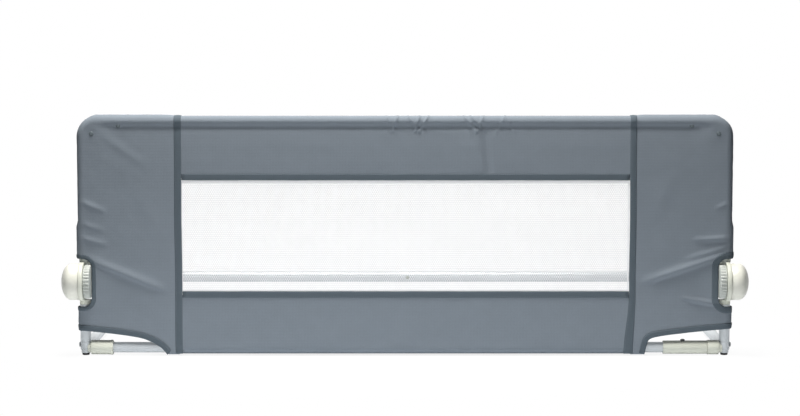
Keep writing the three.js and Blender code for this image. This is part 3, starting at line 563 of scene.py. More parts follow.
# Each finish: the record's slot it comes from, its maker, its colour in the panel, and values
FINISHES = {
    "woven_polyester": ("cover_cloth", woven_finish, "cloth", dict(thread=1.3, mottle=0.16)),
    "woven_tape": ("tape_cloth", woven_finish, "tape", dict(thread=1.0, mottle=0.12)),
    # Spun polyester thread: dull, with its fibres' twist showing as light and dark
    "stitch_thread": ("tape_cloth", dull_finish, "thread", dict(
        roughness=0.75, scale=1500.0, detail=1.0, darker=0.75, depth=0.08)),
    # Warp-knitted polyester net: bright threads, hardly darker where they twist
    "knitted_net": ("white_net", dull_finish, "net", dict(
        roughness=0.6, scale=240.0, detail=2.0, darker=0.92, depth=0.1)),
    "silver_powder_coat": ("painted_steel", powder_coat_finish, "tube", {}),
    "zinc_plated_steel": ("bare_steel", metal_finish, "zinc", dict(roughness=0.35, scratch=600.0)),
    "blackened_steel": ("bare_steel", metal_finish, "stud", dict(roughness=0.42, scratch=500.0)),
    "cream_polypropylene": ("cream_plastic", moulded_finish, "fitting", dict(roughness=0.5)),
    "ivory_abs": ("pale_plastic", moulded_finish, "dome", dict(
        roughness=0.36, grain=0.25, darker=0.9)),
    "grey_nylon": ("grey_plastic", moulded_finish, "drum", dict(roughness=0.5)),
    "black_nylon": ("black_plastic", moulded_finish, "button", dict(roughness=0.45)),
    # Soft black rubber: dull, a little dusty, with a faint moulded grain
    "black_rubber": ("rubber", dull_finish, "foot", dict(
        roughness=0.8, scale=150.0, detail=4.0, darker=0.6, depth=0.1)),
}


def finish_of(name):
    """The finish of that name, made on its first use from the panel's colours."""
    _, make, tone, values = FINISHES[name]
    colour = getattr(bpy.context.scene.guard_rail_colours, tone)
    return bpy.data.materials.get(name) or make(name, colour, **values)


# Pieces


def piece(name, bm, finish, body, nodes=(), sharp=35.0, second=None):
    """A finished piece in metres, with its finishes, its body and the CAD nodes it stands for."""
    bmesh.ops.scale(bm, vec=(MM, MM, MM), verts=bm.verts)
    bmesh.ops.translate(bm, vec=(0, PLANE_Y * MM, 0), verts=bm.verts)
    shape = as_object(bm, name)
    shape.data.shade_smooth()
    shape.data.set_sharp_from_angle(angle=radians(sharp))
    for one in filter(None, (finish, second)):
        shape.data.materials.append(finish_of(one))
    if nodes:
        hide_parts(*nodes)
    if body:
        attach(shape, body)
    return shape


def twins(name, draw, finish, body, node, sharp=35.0):
    """The same piece on both sides."""
    for side, word in SIDES.items():
        piece(f"{name}_{word}", on_side(draw(), side), finish, body, [f"{node}_{word}"], sharp)


def bends(shape):
    """Bakes a cloth piece's placement into its mesh."""
    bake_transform(shape)


def walled(shape, thickness):
    """Gives a skin its thickness."""
    wall = shape.modifiers.new("Thickness", "SOLIDIFY")
    wall.thickness = thickness * MM
    wall.offset = -1.0
    wall.use_even_offset = False


def sewn(name, bm, finish, body, nodes, thick, flat, rests_on, **more):
    """A piece of the cover. One with no body of its own reaches over the fold, and its placement is
    baked into its mesh.
    """
    shape = piece(name, bm, finish, body, nodes, sharp=60)
    walled(shape, thick)
    if not body:
        bends(shape)


def taped(name, bm, body, nodes, thick, length, rests_on):
    """A tape of the given length in metres, as wide as its area makes it."""
    flat = (area_of(bm) / length, length)
    sewn(name, bm, "woven_tape", body, nodes, thick, flat, [rests_on])


# The surface of the cover


def crease_lift(side, x, z):
    """How far the creases lift the front of a side panel."""
    lift = 0.0
    for start, end, height, above, below in CREASES[side]:
        start, end = Vector(start), Vector(end)
        run = end - start
        share = (Vector((x, z)) - start).dot(run) / run.length_squared
        if not 0 < share < 1:
            continue
        near = start + run * share
        off = (Vector((x, z)) - near).length
        width = above if z > near.y else below
        if off < width * 1.6:
            lift += height * sin(pi * share) ** 0.8 * bell(off / width * 1.7)
    return lift


def casing_dip(z, x=0.0):
    """How far the cloth goes in below the top tube before it comes forward again."""
    free = smooth_step((CORNER_X + 6 - x) / 40)
    return height_at(CASING_FALL, TOP_Z - z) * free


def ripple(x, z, seed):
    """The slight unevenness of stretched cloth."""
    return 0.55 * waves(x / 46, z / 46, seed) + 0.12 * waves(x / 13, z / 13, seed + 5)


def cloth_front(side, x, z):
    """y of the front of a side panel's cloth."""
    seam = smooth_step((x - SEAM_X - 2) / 25)
    edge = smooth_step((UPRIGHT_X + 6 - x) / 14)
    notch_pull = hump(z, NOTCH_LOW, NOTCH_HIGH, 16) * smooth_step((x - 505) / 42)
    lift = crease_lift(side, x, z) * max(edge, 0.3)
    lift += ripple(x * side, z, 3.0) * seam * edge
    return -CLOTH - lift + casing_dip(z, x) - notch_pull


def corner_place(x, z):
    """Rounds the square sheet's upper outer corner to the tube's bend."""
    a, b = (x - CORNER_X) / BEND, (z - CORNER_Z) / BEND
    if a <= 0 or b <= 0:
        return x, z
    return (CORNER_X + BEND * a * sqrt(1 - b * b / 2), CORNER_Z + BEND * b * sqrt(1 - a * a / 2))


def corner_out(x, z):
    """The direction out of the frame at a place on its edge."""
    if z <= CORNER_Z:
        return X_AXIS.copy()
    if x <= CORNER_X:
        return Z_AXIS.copy()
    return Vector((x - CORNER_X, 0, z - CORNER_Z)).normalized()


def side_bulge(x, z):
    """How far the edge of a side panel stands proud of the tube."""
    loose = 2.6 * hump(z, 176, 224, 14)
    puffed = 4.8 * smooth_step((z - TOP_Z + 3) / 8) * smooth_step((x - SEAM_X) / 20)
    low = 1.2 * hump(z, 60, 84, 14)
    return loose + puffed + low


def hem_height(side, x):
    """z of the cover's lower edge on a side panel."""
    points = [(SEAM_X + across * HEM_WIDTH, HEM_LOW + up * (HEM_HIGH - HEM_LOW))
              for across, up in reversed(HEM[side])]
    return height_at(points, x)


def notch_distance(x, z):
    """Distance from the notch's edge, less than zero inside the notch."""
    far = UPRIGHT_X + 80
    centre = Vector(((NOTCH_X + far) / 2, (NOTCH_LOW + NOTCH_HIGH) / 2))
    half = Vector(((far - NOTCH_X) / 2, (NOTCH_HIGH - NOTCH_LOW) / 2))
    corner = Vector((NOTCH_CORNER, NOTCH_CORNER))
    q = Vector((abs(x - centre.x), abs(z - centre.y))) - half + corner
    outside = Vector((max(q.x, 0), max(q.y, 0))).length
    return outside + min(max(q.x, q.y), 0) - NOTCH_CORNER


def rim_point(side, x, z, angle, proud=0.0):
    """A point of the rim round the tube beside (x, z), from 0 at the front to a half turn."""
    bow = sin(angle)
    wave = 0.5 * waves(z / 17, x / 17, 9.0 + side)
    reach = (CLOTH + proud + (side_bulge(x, z) * bow + wave) * bow) * bow
    depth = cloth_front(side, x, z) - proud if angle < pi / 2 else -CLOTH - proud
    return Vector((x, depth * cos(angle), z)) + corner_out(x, z) * reach


def back_point(x, z, proud=0.0):
    """A point of the outer face of a side cover's back."""
    slack = 0.4 * waves(x / 30, z / 30, 20.0) * hump(x, 0, UPRIGHT_X - 20, 12)
    return Vector((x, CLOTH - casing_dip(z, x) * 0.8 + slack + proud, z))


def cover_point(side, across, z, proud):
    """A point on a side cover's outer face; across runs on round the rim and over the back."""
    if across <= UPRIGHT_X:
        return Vector((across, cloth_front(side, across, z) - proud, z))
    angle = (across - UPRIGHT_X) / CLOTH
    if angle < pi:
        return rim_point(side, UPRIGHT_X, z, angle, proud)
    return back_point(2 * UPRIGHT_X + HALF_TURN - across, z, proud)


def cut_notch(bm):
    """Takes the cells inside the notch away and draws the edge that is left onto its outline."""
    def inside(point):
        flap = point.y > CLOTH - 1.5 and point.z < BACK_FLAP
        return notch_distance(point.x, point.z) < 0 and not flap

    doomed = {face for face in bm.faces if inside(face.calc_center_median())}
    edge = {vert for face in doomed for vert in face.verts
            if any(other not in doomed for other in vert.link_faces)}
    bmesh.ops.delete(bm, geom=list(doomed), context="FACES")
    for vert in edge:
        x, z = vert.co.x, vert.co.z
        off = notch_distance(x, z)
        slope = Vector((notch_distance(x + 0.1, z) - off, notch_distance(x, z + 0.1) - off)) / 0.1
        vert.co.x -= slope.x * off
        vert.co.z -= slope.y * off


def side_cover(side):
    """One end of the cover: a front and a back joined round the tube, notched at the hub."""
    bm = bmesh.new()
    rim_room = 60  # left for the rim between front and back where the cover lies flat
    columns = stations(SEAM_X - 2, 421, 4, 435, 2.0, CORNER_X, 3.2, NOTCH_X, 2.5, UPRIGHT_X, 2.3)
    rows = stations(0, NOTCH_LOW, 3.0, NOTCH_HIGH, 2.9, CORNER_Z, 3.0, TOP_Z, 2.4)

    def dropped(x, z):
        low = hem_height(side, x)
        return z if z >= NOTCH_LOW else low + (NOTCH_LOW - low) * z / NOTCH_LOW

    def front_place(x, z):
        px, pz = corner_place(x, dropped(x, z))
        return Vector((px, cloth_front(side, px, pz), pz))

    def rim_place(angle, spot):
        return rim_point(side, *corner_place(spot[0], dropped(*spot)), angle)

    def rim_flat(angle, spot):
        out = corner_out(*corner_place(*spot)) * angle * CLOTH
        return spot[0] + out.x, spot[1] + out.z

    def back_place(x, z):
        return back_point(*corner_place(x, dropped(x, z)))

    def back_flat(x, z):
        return 2 * UPRIGHT_X + rim_room - x, z

    border = [(UPRIGHT_X, z) for z in rows] + [(x, TOP_Z) for x in columns[-2::-1]]
    turn = [radians(degrees) for degrees in stations(0, 180, 18)]
    above_notch = [z for z in rows if z >= NOTCH_HIGH - 0.01]
    below_flap = [z for z in rows if z <= BACK_FLAP + 0.01]
    sleeve = [x for x in columns if x >= CORNER_X - 0.01]
    sheet_cells(bm, columns, rows, front_place, lambda x, z: (x, dropped(x, z)))
    sheet_cells(bm, turn, border, rim_place, rim_flat)
    sheet_cells(bm, columns[::-1], above_notch, back_place, back_flat)
    sheet_cells(bm, sleeve[::-1], below_flap, back_place, back_flat)
    bmesh.ops.remove_doubles(bm, verts=bm.verts, dist=0.05)
    cut_notch(bm)
    return on_side(bm, side)


def top_path():
    """(y, z, length so far) down the top panel: window edge, casing, and round to its seam."""
    points = [(-CLOTH + casing_dip(z), z) for z in stations(WINDOW_HIGH, TOP_Z, 2.6)]
    points += arc(0, 228, spacing=12, radius=CLOTH, centre=TOP_Z)
    return measured(points + [(4.0, CASING_Z + 2.0), (-1.5, CASING_Z), (-4.4, CASING_Z - 0.5)])


def casing_push(x, z):
    """How far the top panel's front comes forward: its slack, puckers, wrinkles and long fold."""
    pucker = 0.45 * waves(x / 9, 2.0, 0.0) + 0.3 * waves(x / 4, 7.0, 0.0)
    push = ripple(x, z, 11.0) * hump(z, 0, CASING_Z - 24, 14) * 0.7
    push += pucker * hump(z, CASING_Z - 8, CASING_Z + 9, 10)
    on_casing, wrinkle_width = hump(z, CASING_Z - 2, TOP_Z + 8, 5), 2.6
    for ridge_x, height, slant in WRINKLES:
        push += height * on_casing * bell((x - ridge_x - slant * (TOP_Z - z)) / wrinkle_width)
    fold_x = 137 + 10 * (TOP_Z - z) / (TOP_Z - WINDOW_HIGH)
    fold_depth, fold_width, loose_from = 2.4, 7, 60
    hung = hump(z, WINDOW_HIGH + 12, CASING_Z, 10)
    push += hung * smooth_step((x - loose_from) / 70) * (1 - smooth_step((x - fold_x) / 9))
    push -= fold_depth * hung * bell((x - fold_x) / fold_width)
    if z > CASING_Z:
        tighter, clear_of_tube = 0.55, TUBE + CLOTH_THICK + 0.05 - CLOTH
        return max(push - tighter, clear_of_tube)
    return push


def top_cover():
    """The panel above the window with its casing round the top tube."""
    bm = bmesh.new()
    path = top_path()
    across = stations(-SEAM_X, -36, 5.0, 48, 1.3, 100, 5.0, 194, 1.3, SEAM_X, 5.0)

    def place(x, step):
        y, z, _ = step
        push = casing_push(x, z)
        if z <= TOP_Z:
            return Vector((x, y - push if y < 0 else y, z))
        return Vector((x, y, z)) + Vector((0, y, z - TOP_Z)).normalized() * push

    sheet_cells(bm, across, path, place, lambda x, step: (x, step[2]))
    return bm


def front_skirt():
    """The panel below the window, taken round the front cross tube and up behind."""
    bm = bmesh.new()
    front_length = 100  # the straight front and the start of the turn round the tube
    points = [(-CLOTH, z) for z in stations(WINDOW_LOW, CROSS_Z, 3.0)]
    points += arc(0, -200, spacing=12, radius=CLOTH, centre=CROSS_Z)
    points += [(4.0, CROSS_Z + 17.0), (-3.0, CROSS_Z + 25.0), (-8.6, CROSS_Z + 32.0)]

    def place(x, step):
        y, z, length = step
        flat = hump(z, CROSS_Z + 8, WINDOW_LOW - 10, 10) if length < front_length else 0.0
        pull = 0.5 * waves(x / 30, z / 60, 4.0) * hump(z, 0, 60, 20)
        return Vector((x, y - ripple(x, z, 31.0) * flat - pull * flat, z))

    sheet_cells(bm, stations(-SEAM_X, SEAM_X, 5.0), measured(points), place,
                lambda x, step: (x, -step[2]))
    bmesh.ops.reverse_faces(bm, faces=bm.faces)
    return bm


def strip(path, across, place):
    """A tape along a path: across are offsets over its width, place a step and offset's point."""
    bm = bmesh.new()
    steps = [(step, length) for step, (*_, length) in
             zip(path, measured([tuple(point[:2]) for point in path]))]
    sheet_cells(bm, across, steps, lambda offset, step: place(step[0], offset),
                lambda offset, step: (offset, step[1]))
    return bm


def seam_point(side, z, offset, proud=0.65):
    """A point of the seam tape's outer face; past the top tube z goes on as length of arc."""
    middle, swell = TAPE_X[side], proud + 0.25 * cos(offset / 2.2)
    if z > TOP_Z:
        angle = (z - TOP_Z) / CLOTH
        out = CLOTH + swell
        return Vector((middle + offset, -out * cos(angle), TOP_Z + out * sin(angle)))
    slant = smooth_step((112 - z) / 110) if side == RIGHT else 0.0
    x = middle + offset * (1 + 0.45 * slant) - 6.5 * slant + 0.3 * sin(z / 31)
    return Vector((x, -CLOTH + casing_dip(z) - swell, z))


def seam_tape(side):
    """The tape over the seam between the window and a side panel, from hem to top and over."""
    places = stations(HEM_LOW + 1, 118, 4.0, 144, 2.0, TOP_Z, 3.2, TOP_Z + 3.05 * CLOTH, 2.4)
    half = TAPE_HALF[side]
    bm = strip([(0, z) for z in places], stations(-half, half, 1.5),
               lambda step, offset: seam_point(side, step[1], offset))
    return on_side(bm, side)


def window_point(x, edge_z, offset):
    """A point of a window tape's outer face."""
    wave = 0.25 * sin(x / 23) + 0.2 * sin(x / 9.1)
    lift = 0.65 + 0.3 * cos(offset / WINDOW_TAPE_HALF * 1.5)
    return Vector((x, -CLOTH - lift, edge_z - offset + 0.9 + wave * 0.3))


def window_run(spacing):
    """Stations along a window tape."""
    return stations(TAPE_HALF[LEFT] - TAPE_X[LEFT] + 0.4,
                    TAPE_X[RIGHT] - TAPE_HALF[RIGHT] - 0.4, spacing)


def window_tape(edge_z):
    """The tape along an edge of the window."""
    return strip([(x, 0) for x in window_run(8.0)],
                 stations(-WINDOW_TAPE_HALF, WINDOW_TAPE_HALF, 1.5),
                 lambda step, offset: window_point(step[0], edge_z, offset))


def folded_over(side, path, width):
    """A binding folded over an edge: path holds (across, up, way in) on the flat cover."""
    def place(step, offset):
        across, z, inward = step
        reach = max(offset, -0.6)
        proud = 0.5 + 0.35 * sin(pi * offset / width) if offset >= 0 else 0.6 * offset
        return cover_point(side, across + inward.x * reach, z + inward.y * reach, proud)

    offsets = [-3.0, -1.5, -0.6] + stations(0.0, width, width / 5)
    return on_side(strip(path, offsets, place), side)


def hem_path(side):
    """(across, up, way in) along a side panel's lower edge, round the tube to the back."""
    first = SEAM_X + HEM_WIDTH * HEM[side][-1][0]
    behind = UPRIGHT_X + HALF_TURN
    places = stations(first - 0.5, 440, 1.4, UPRIGHT_X, 4.0, behind, 3.0, behind + BEND, 6.0)
    edge = [Vector((across, hem_height(side, min(across, UPRIGHT_X)))) for across in places]
    path = []
    for before, point, after in zip(edge[:1] + edge, edge, edge[1:] + edge[-1:]):
        run = (after - before).normalized()
        path.append((point.x, point.y, Vector((-run.y, run.x))))
    return path


def notch_path():
    """(across, up, way out) round the notch from behind its lower end to the back's opening."""
    behind, start = UPRIGHT_X + HALF_TURN, NOTCH_X + NOTCH_CORNER
    low, high = NOTCH_LOW + NOTCH_CORNER, NOTCH_HIGH - NOTCH_CORNER

    def corner(first, last, centre_z):
        outs = [Vector((cos(radians(degrees)), sin(radians(degrees))))
                for degrees in stations(first, last, 11)[1:]]
        return [(start + NOTCH_CORNER * out.x, centre_z + NOTCH_CORNER * out.y, out)
                for out in outs]

    under = stations(behind, UPRIGHT_X, 3.0, start, 3.0)
    over = stations(start, UPRIGHT_X, 3.0, behind, 3.0, behind + UPRIGHT_X - SEAM_X, 6.0)
    return ([(across, NOTCH_LOW, Vector((0, -1))) for across in under] + corner(-90, -180, low)
            + [(NOTCH_X, z, Vector((-1, 0))) for z in stations(low, high, 2.5)[1:]]
            + corner(180, 90, high) + [(across, NOTCH_HIGH, Vector((0, 1))) for across in over[1:]])


def notch_binding(side):
    """The binding folded over the notch's edge and the back's opening."""
    bm = folded_over(side, notch_path(), NOTCH_TAPE[side])
    bmesh.ops.reverse_faces(bm, faces=bm.faces)
    return bm


def knitted_net():
    """The net of the window: six-sided meshes of flat thread, with a plain border."""
    pitch, thread, border, net_y = 3.8, 1.15, 2.6, -10.3
    half, low, high = SEAM_X - 1, WINDOW_LOW, WINDOW_HIGH
    columns, pairs = round(2 * half / pitch), round((high - low) / (pitch * sqrt(3)))
    step_x, step_z = 2 * half / columns, (high - low) / pairs
    bm = bmesh.new()
    for shift in (0, 1):
        made = bmesh.ops.create_circle(bm, cap_ends=True, segments=6, radius=step_x / sqrt(3))
        centre = (step_x * (1 + shift) / 2 - half, step_z * (0.25 + shift / 2), 0)
        bmesh.ops.scale(bm, vec=(1, step_z / (step_x * sqrt(3)), 1), verts=made["verts"])
        bmesh.ops.translate(bm, vec=centre, verts=made["verts"])
    bmesh.ops.inset_individual(bm, faces=bm.faces[:], thickness=thread / 2, depth=0)
    middles = [face for face in bm.faces if len(face.verts) == 6]
    bmesh.ops.delete(bm, geom=middles, context="FACES_ONLY")
    bmesh.ops.rotate(bm, verts=bm.verts, cent=(0, 0, 0), matrix=Matrix.Rotation(pi / 2, 3, "X"))
    bmesh.ops.translate(bm, vec=(0, net_y, low), verts=bm.verts)
    shape = as_object(bm, "net_cells")
    for count, way in ((columns, (step_x, 0, 0)), (pairs, (0, 0, step_z))):
        rows = shape.modifiers.new("Rows", "ARRAY")
        rows.count = count
        rows.use_relative_offset = False
        rows.use_constant_offset = True
        rows.constant_offset_displace = way
    bm = applied(shape)
    bmesh.ops.remove_doubles(bm, verts=bm.verts, dist=0.02)
    for vert in bm.verts:
        x, z = vert.co.x, vert.co.z
        slack = hump(x, 30 - half, half - 30, 60) * hump(z, low + 40, high - 40, 50)
        vert.co.y += 1.4 * slack * waves(x / 160, z / 90, 1.0)
    inner = SEAM_X - TAPE_HALF[LEFT] - border
    wide, tall = stations(-inner, inner, 9.0), stations(low + 6, high - 6, 4.0)
    for across, up in ((wide, [low + 5, low + 6 + border]), (wide, [high - 6 - border, high - 5]),
                       ([-inner - border, -inner], tall), ([inner, inner + border], tall)):
        sheet_cells(bm, across, up, lambda x, z: Vector((x, net_y - 0.3, z)), lambda x, z: (x, z))
    return bm


# Tubes


def tube_run(end_x):
    """The upper tube of the right side, bent once, as an open skin."""
    bm = bmesh.new()
    ring_step = 30  # from each straight length's start to the one ring between its ends
    made = bmesh.ops.create_circle(bm, cap_ends=False, segments=40, radius=TUBE)
    bmesh.ops.translate(bm, vec=(UPRIGHT_X, 0, UPPER_LOW.z), verts=made["verts"])
    rim = list(bm.edges)
    for rise in (ring_step, CORNER_Z - UPPER_LOW.z - ring_step):
        ring, rim = extruded(bm, rim)
        bmesh.ops.translate(bm, vec=(0, 0, rise), verts=ring)
    spun = bmesh.ops.spin(bm, geom=ring + rim, cent=(CORNER_X, 0, CORNER_Z), axis=-Y_AXIS,
                          dvec=(0, 0, 0), angle=pi / 2, steps=14, use_duplicate=False)
    rim = [e for e in spun["geom_last"] if isinstance(e, BMEdge)]
    for reach in (ring_step, CORNER_X - end_x - ring_step):
        ring, rim = extruded(bm, rim)
        bmesh.ops.translate(bm, vec=(-reach, 0, 0), verts=ring)
    return closed(bm)


def crossbar(side):
    """Half of the crossbar behind the net; the right half has the snap button's hole."""
    centre, gap, hole_radius = (0, 0, BAR_Z), 0.3, 3.3
    if side == LEFT:
        return tube(X_AXIS, BAR_LEFT_LOW.x, BAR_LOW.x - gap, centre, edge=0.5, steps=32)
    middle = node_middle("crossbar_button")
    hole = bar(Y_AXIS, hole_radius, -TUBE - 4, 0, (middle.x, 0, middle.z), edge=0.1, steps=20)
    return cut(tube(X_AXIS, BAR_LOW.x, BAR_HIGH.x, centre, edge=0.5, steps=48), hole)


def upright():
    """The lower upright of the right side."""
    return tube(Z_AXIS, UPRIGHT_LOW.z, UPRIGHT_HIGH.z, (UPRIGHT_X, 0, 0))


def arm_tube():
    """The arm below the mattress on the right side."""
    low, high = node_box("under_mattress_arm_right")
    return tube(Y_AXIS, low.y - PLANE_Y, high.y - PLANE_Y, (UPRIGHT_X, 0, CROSS_Z))


def sleeve_hole(radius):
    """What the sleeve button's hole takes out of the cross tube or its sleeve."""
    centre = (node_middle("sleeve_button").x, 0, 0)
    return bar(Z_AXIS, radius, CROSS_Z, CROSS_Z + 16, centre, edge=0.1, steps=24)


# Mouldings of the base


def corner_fitting(side):
    """The corner: silver ball, neck, arm root and foot boss, and the cream cross tube socket."""
    corner, cross = (UPRIGHT_X, 0, CROSS_Z), (0, 0, CROSS_Z)
    ball = [(-9.4, 0), (-9.4, 3), (-6.8, 6.8), (0, 9.5), (6.8, 6.8), (9.4, 3), (9.4, 0)]
    parts = [
        turned(softened(ball, edge=2.5, steps=4), X_AXIS, corner, steps=40),
        bar(Z_AXIS, NECK, CROSS_Z, CROSS_Z + 10, (UPRIGHT_X, 0, 0)),
        bar(Y_AXIS, NECK, 0, 16, corner),
        bar(Z_AXIS, 7.7, 4.0, CROSS_Z, (UPRIGHT_X, 0, 0), edge=0.6, steps=32),
    ]
    for face in (face for part in parts for face in part.faces):
        face.material_index = 1
    parts.append(bar(X_AXIS, 9.4, UPRIGHT_X - 15.8, UPRIGHT_X - 4, cross))
    if side == LEFT:
        socket = [(544.7, 0), (544.7, 9.8), (512.2, 9.8), (512.2, 12.6), (551.2, 12.6),
                  (551.2, 9.0), (549.0, 0)]
        rib = [(513.5, 12.0), (513.5, 13.1), (516.5, 13.1), (516.5, 12.0)]
        parts += [turned(socket, X_AXIS, cross, steps=48, edge=1.0),
                  turned(rib, X_AXIS, cross, steps=48, ring=True)]
    else:
        collar = [(530.5, 0), (530.5, 12.6), (551.2, 12.6), (551.2, 9.0), (549.0, 0)]
        parts += [turned(collar, X_AXIS, cross, steps=48, edge=1.2),
                  bar(X_AXIS, 9.4, 516.2, 531, cross, edge=0.8)]
    return on_side(together(*parts), side)


def cross_tube_sleeve():
    """The sleeve that joins the cross tube to the right fitting, with the snap button's hole."""
    low, high = node_box("cross_tube_sleeve")
    sleeve = pipe(X_AXIS, 11.7, 9.8, low.x, high.x, (0, 0, CROSS_Z), edge=0.9, steps=48)
    return cut(sleeve, sleeve_hole(4.4))


def snap_button(node, axis, radius, reach, shoulder):
    """A small snap button with a softly rounded head, which looks up or to the front."""
    middle = node_middle(node)
    if axis is Z_AXIS:
        top, inward, centre = node_box(node)[1].z, -1, (middle.x, middle.y - PLANE_Y, 0)
    else:
        top, inward, centre = node_box(node)[0].y - PLANE_Y, 1, (middle.x, 0, middle.z)
    profile = [(top + inward * depth, out) for depth, out in
               ((reach, 0), (reach, radius), (shoulder, radius), (0.3, radius * 0.7), (0, 0))]
    return turned(profile, axis, centre, steps=28, edge=0.8)


def stud_cap(side, node):
    """A stud's cap, on the cloth in front of the stud's place in the frame."""
    middle = node_middle(node)
    face = cloth_front(side, abs(middle.x), middle.z)
    profile = [(face + depth, radius) for depth, radius in
               ((0.5, 0), (0.5, 4.0), (-0.5, 4.0), (-1.2, 2.6), (-1.4, 0))]
    return turned(profile, Y_AXIS, (middle.x, 0, middle.z), steps=28, edge=0.4)


def arm_cap():
    """The end cap of an arm, a drum with a flat below."""
    low, high = node_box("arm_end_cap_right")
    start, end, flat_z = low.y - PLANE_Y, high.y - PLANE_Y, 0.05
    profile = [(start, 9.8), (start, 12.4), (start + 4, 14.2), (end - 3, 14.4), (end, 11.5),
               (end, 0)]
    bm = turned(profile, Y_AXIS, (UPRIGHT_X, 0, CROSS_Z), steps=48, edge=1.5)
    bmesh.ops.bisect_plane(bm, geom=bm.verts[:] + bm.edges[:] + bm.faces[:],
                           plane_co=(0, 0, flat_z), plane_no=(0, 0, -1), clear_outer=True)
    rim = [e for e in bm.edges
           if e.is_boundary and all(abs(v.co.z - flat_z) < 0.01 for v in e.verts)]
    bmesh.ops.contextual_create(bm, geom=rim)
    return bm


def foot_pad():
    """A round rubber foot with a softened lower rim."""
    profile = [(0.02, 0), (0.02, 5.6), (1.0, 6.5), (3.7, 6.5), (3.7, 0)]
    return turned(profile, Z_AXIS, (UPRIGHT_X, 0, 0), steps=36, edge=0.5)


def pan_screw():
    """A pan head screw with a cross recess in the corner's outer face."""
    low, high = node_box("corner_screw_right")
    z, top = (low.z + high.z) / 2, high.x
    profile = [(top - depth, radius) for depth, radius in
               ((2.1, 0), (2.1, 4.5), (1.2, 4.4), (0.3, 3.2), (0, 1.4), (0, 0))]
    recess = [block((top - 1, -wide, z - tall), (top + 1, wide, z + tall))
              for wide, tall in ((0.5, 2.2), (2.2, 0.5))]
    return cut(turned(profile, X_AXIS, (0, 0, z), steps=28, edge=0.4), *recess)


# The hinge hubs, drawn about the fold axis at the right upright


def ribbed_drum():
    """The inner half's drum: a grip of raised ribs between two plain rims, hollow inside."""
    bm = bmesh.new()
    ribs, cells = 32, 8
    made = bmesh.ops.create_circle(bm, cap_ends=False, segments=ribs * cells, radius=28.4)
    bmesh.ops.rotate(bm, verts=made["verts"], cent=(0, 0, 0),
                     matrix=Matrix.Rotation(pi / 2, 3, "Y"))

    def spread(verts, x, rib, valley):
        for vert in verts:
            turn = atan2(vert.co.z, vert.co.y) / tau * ribs
            crest = smooth_step((0.34 - abs(turn - round(turn))) / 0.14)
            ray = Vector((0, vert.co.y, vert.co.z)).normalized() * (valley + (rib - valley) * crest)
            vert.co = Vector((x, ray.y, ray.z))

    rim = list(bm.edges)
    spread(made["verts"], -6.5, 20.3, 20.3)
    for x, rib, valley in ((-1.0, 20.3, 20.3), (-1.0, 27.6, 27.6), (-1.3, 28.4, 28.4),
                           (-2.4, 28.4, 28.4), (-2.9, 29.5, 28.2), (-11.4, 29.5, 28.2),
                           (-12.2, 28.4, 27.9), (-12.5, 27.0, 27.0), (-12.5, 8.0, 8.0)):
        ring, rim = extruded(bm, rim)
        spread(ring, x, rib, valley)
    bmesh.ops.contextual_create(bm, geom=rim)
    bmesh.ops.contextual_create(bm, geom=[e for e in bm.edges if e.is_boundary])
    bmesh.ops.recalc_face_normals(bm, faces=bm.faces)
    bmesh.ops.translate(bm, vec=HUB, verts=bm.verts)
    return bm


def hub_neck(low_x, high_x, way):
    """The web and round collar that carry a tube above (way 1) or below (way -1) the hub."""
    low, high = sorted((22.0 * way, 34.5 * way))
    web = block((UPRIGHT_X + low_x, FOLD_Y + 4.5, FOLD_Z + low),
                (UPRIGHT_X + high_x, FOLD_Y + 23.5, FOLD_Z + high), edge=1.6)
    low, high = sorted((33.0 * way, 41.0 * way))
    collar = bar(Z_AXIS, NECK, FOLD_Z + low, FOLD_Z + high, (UPRIGHT_X, 0, 0), edge=0.6, steps=36)
    return [web, collar]


def hinge_arm():
    """The inner, ribbed half of a hub with its upper neck and the crossbar's collar."""
    centre = (0, 0, BAR_Z)
    collar = pipe(X_AXIS, TUBE, TUBE - 2.4, UPRIGHT_X - 21, UPRIGHT_X - 9.5, centre, edge=0.6,
                  steps=36)
    root = bar(X_AXIS, TUBE, UPRIGHT_X - 16, UPRIGHT_X - 9, centre, edge=0.6, steps=36)
    return together(ribbed_drum(), collar, root, *hub_neck(-12.5, -1.0, way=1))


def hinge_base():
    """The outer half of a hub: the shroud ring round the drum, its core and its lower neck."""
    ring = [(-0.5, 20.3), (-0.5, 33.2), (0.2, 34.0), (5.6, 34.0), (6.7, 33.4), (7.0, 32.5),
            (1.0, 32.2), (1.0, 29.0), (11.0, 29.0), (11.0, 19.9), (5.0, 19.9)]
    shroud = turned(ring, X_AXIS, HUB, steps=96, edge=0.5, ring=True)
    return together(shroud, *hub_neck(-0.5, 7.0, way=-1))


def rivet():
    """The domed rivet on the fold axis, its inner head seated in the drum's counterbore."""
    profile = [(-11.9, 0), (-11.7, 2.6), (-10.4, 4.8), (-8.9, 5.5), (-8.9, 3.0), (-1.0, 3.0),
               (-1.0, 0)]
    return turned(profile, X_AXIS, HUB, steps=32, edge=0.5)


def coil_spring():
    """The coil spring between the hub's core and the button's crown, its end turns closer."""
    wire, radius, turns, steps = 0.6, 7.2, 5, 20
    bm = bmesh.new()

    def place(around, step):
        share = smooth_step(step / (turns * steps)) * 0.4 + step / (turns * steps) * 0.6
        angle = tau * step / steps
        out = Vector((0, cos(angle), sin(angle)))
        point = out * (radius + wire * cos(around)) + X_AXIS * wire * sin(around)
        return Vector(HUB) + point + X_AXIS * (SPRING_LOW + (SPRING_HIGH - SPRING_LOW) * share)

    sheet_cells(bm, [radians(a) for a in stations(0, 360, 45)], range(turns * steps + 1), place,
                lambda around, step: (around, step))
    bmesh.ops.remove_doubles(bm, verts=bm.verts, dist=0.001)
    bmesh.ops.holes_fill(bm, edges=[e for e in bm.edges if e.is_boundary], sides=0)
    bmesh.ops.recalc_face_normals(bm, faces=bm.faces)
    return bm


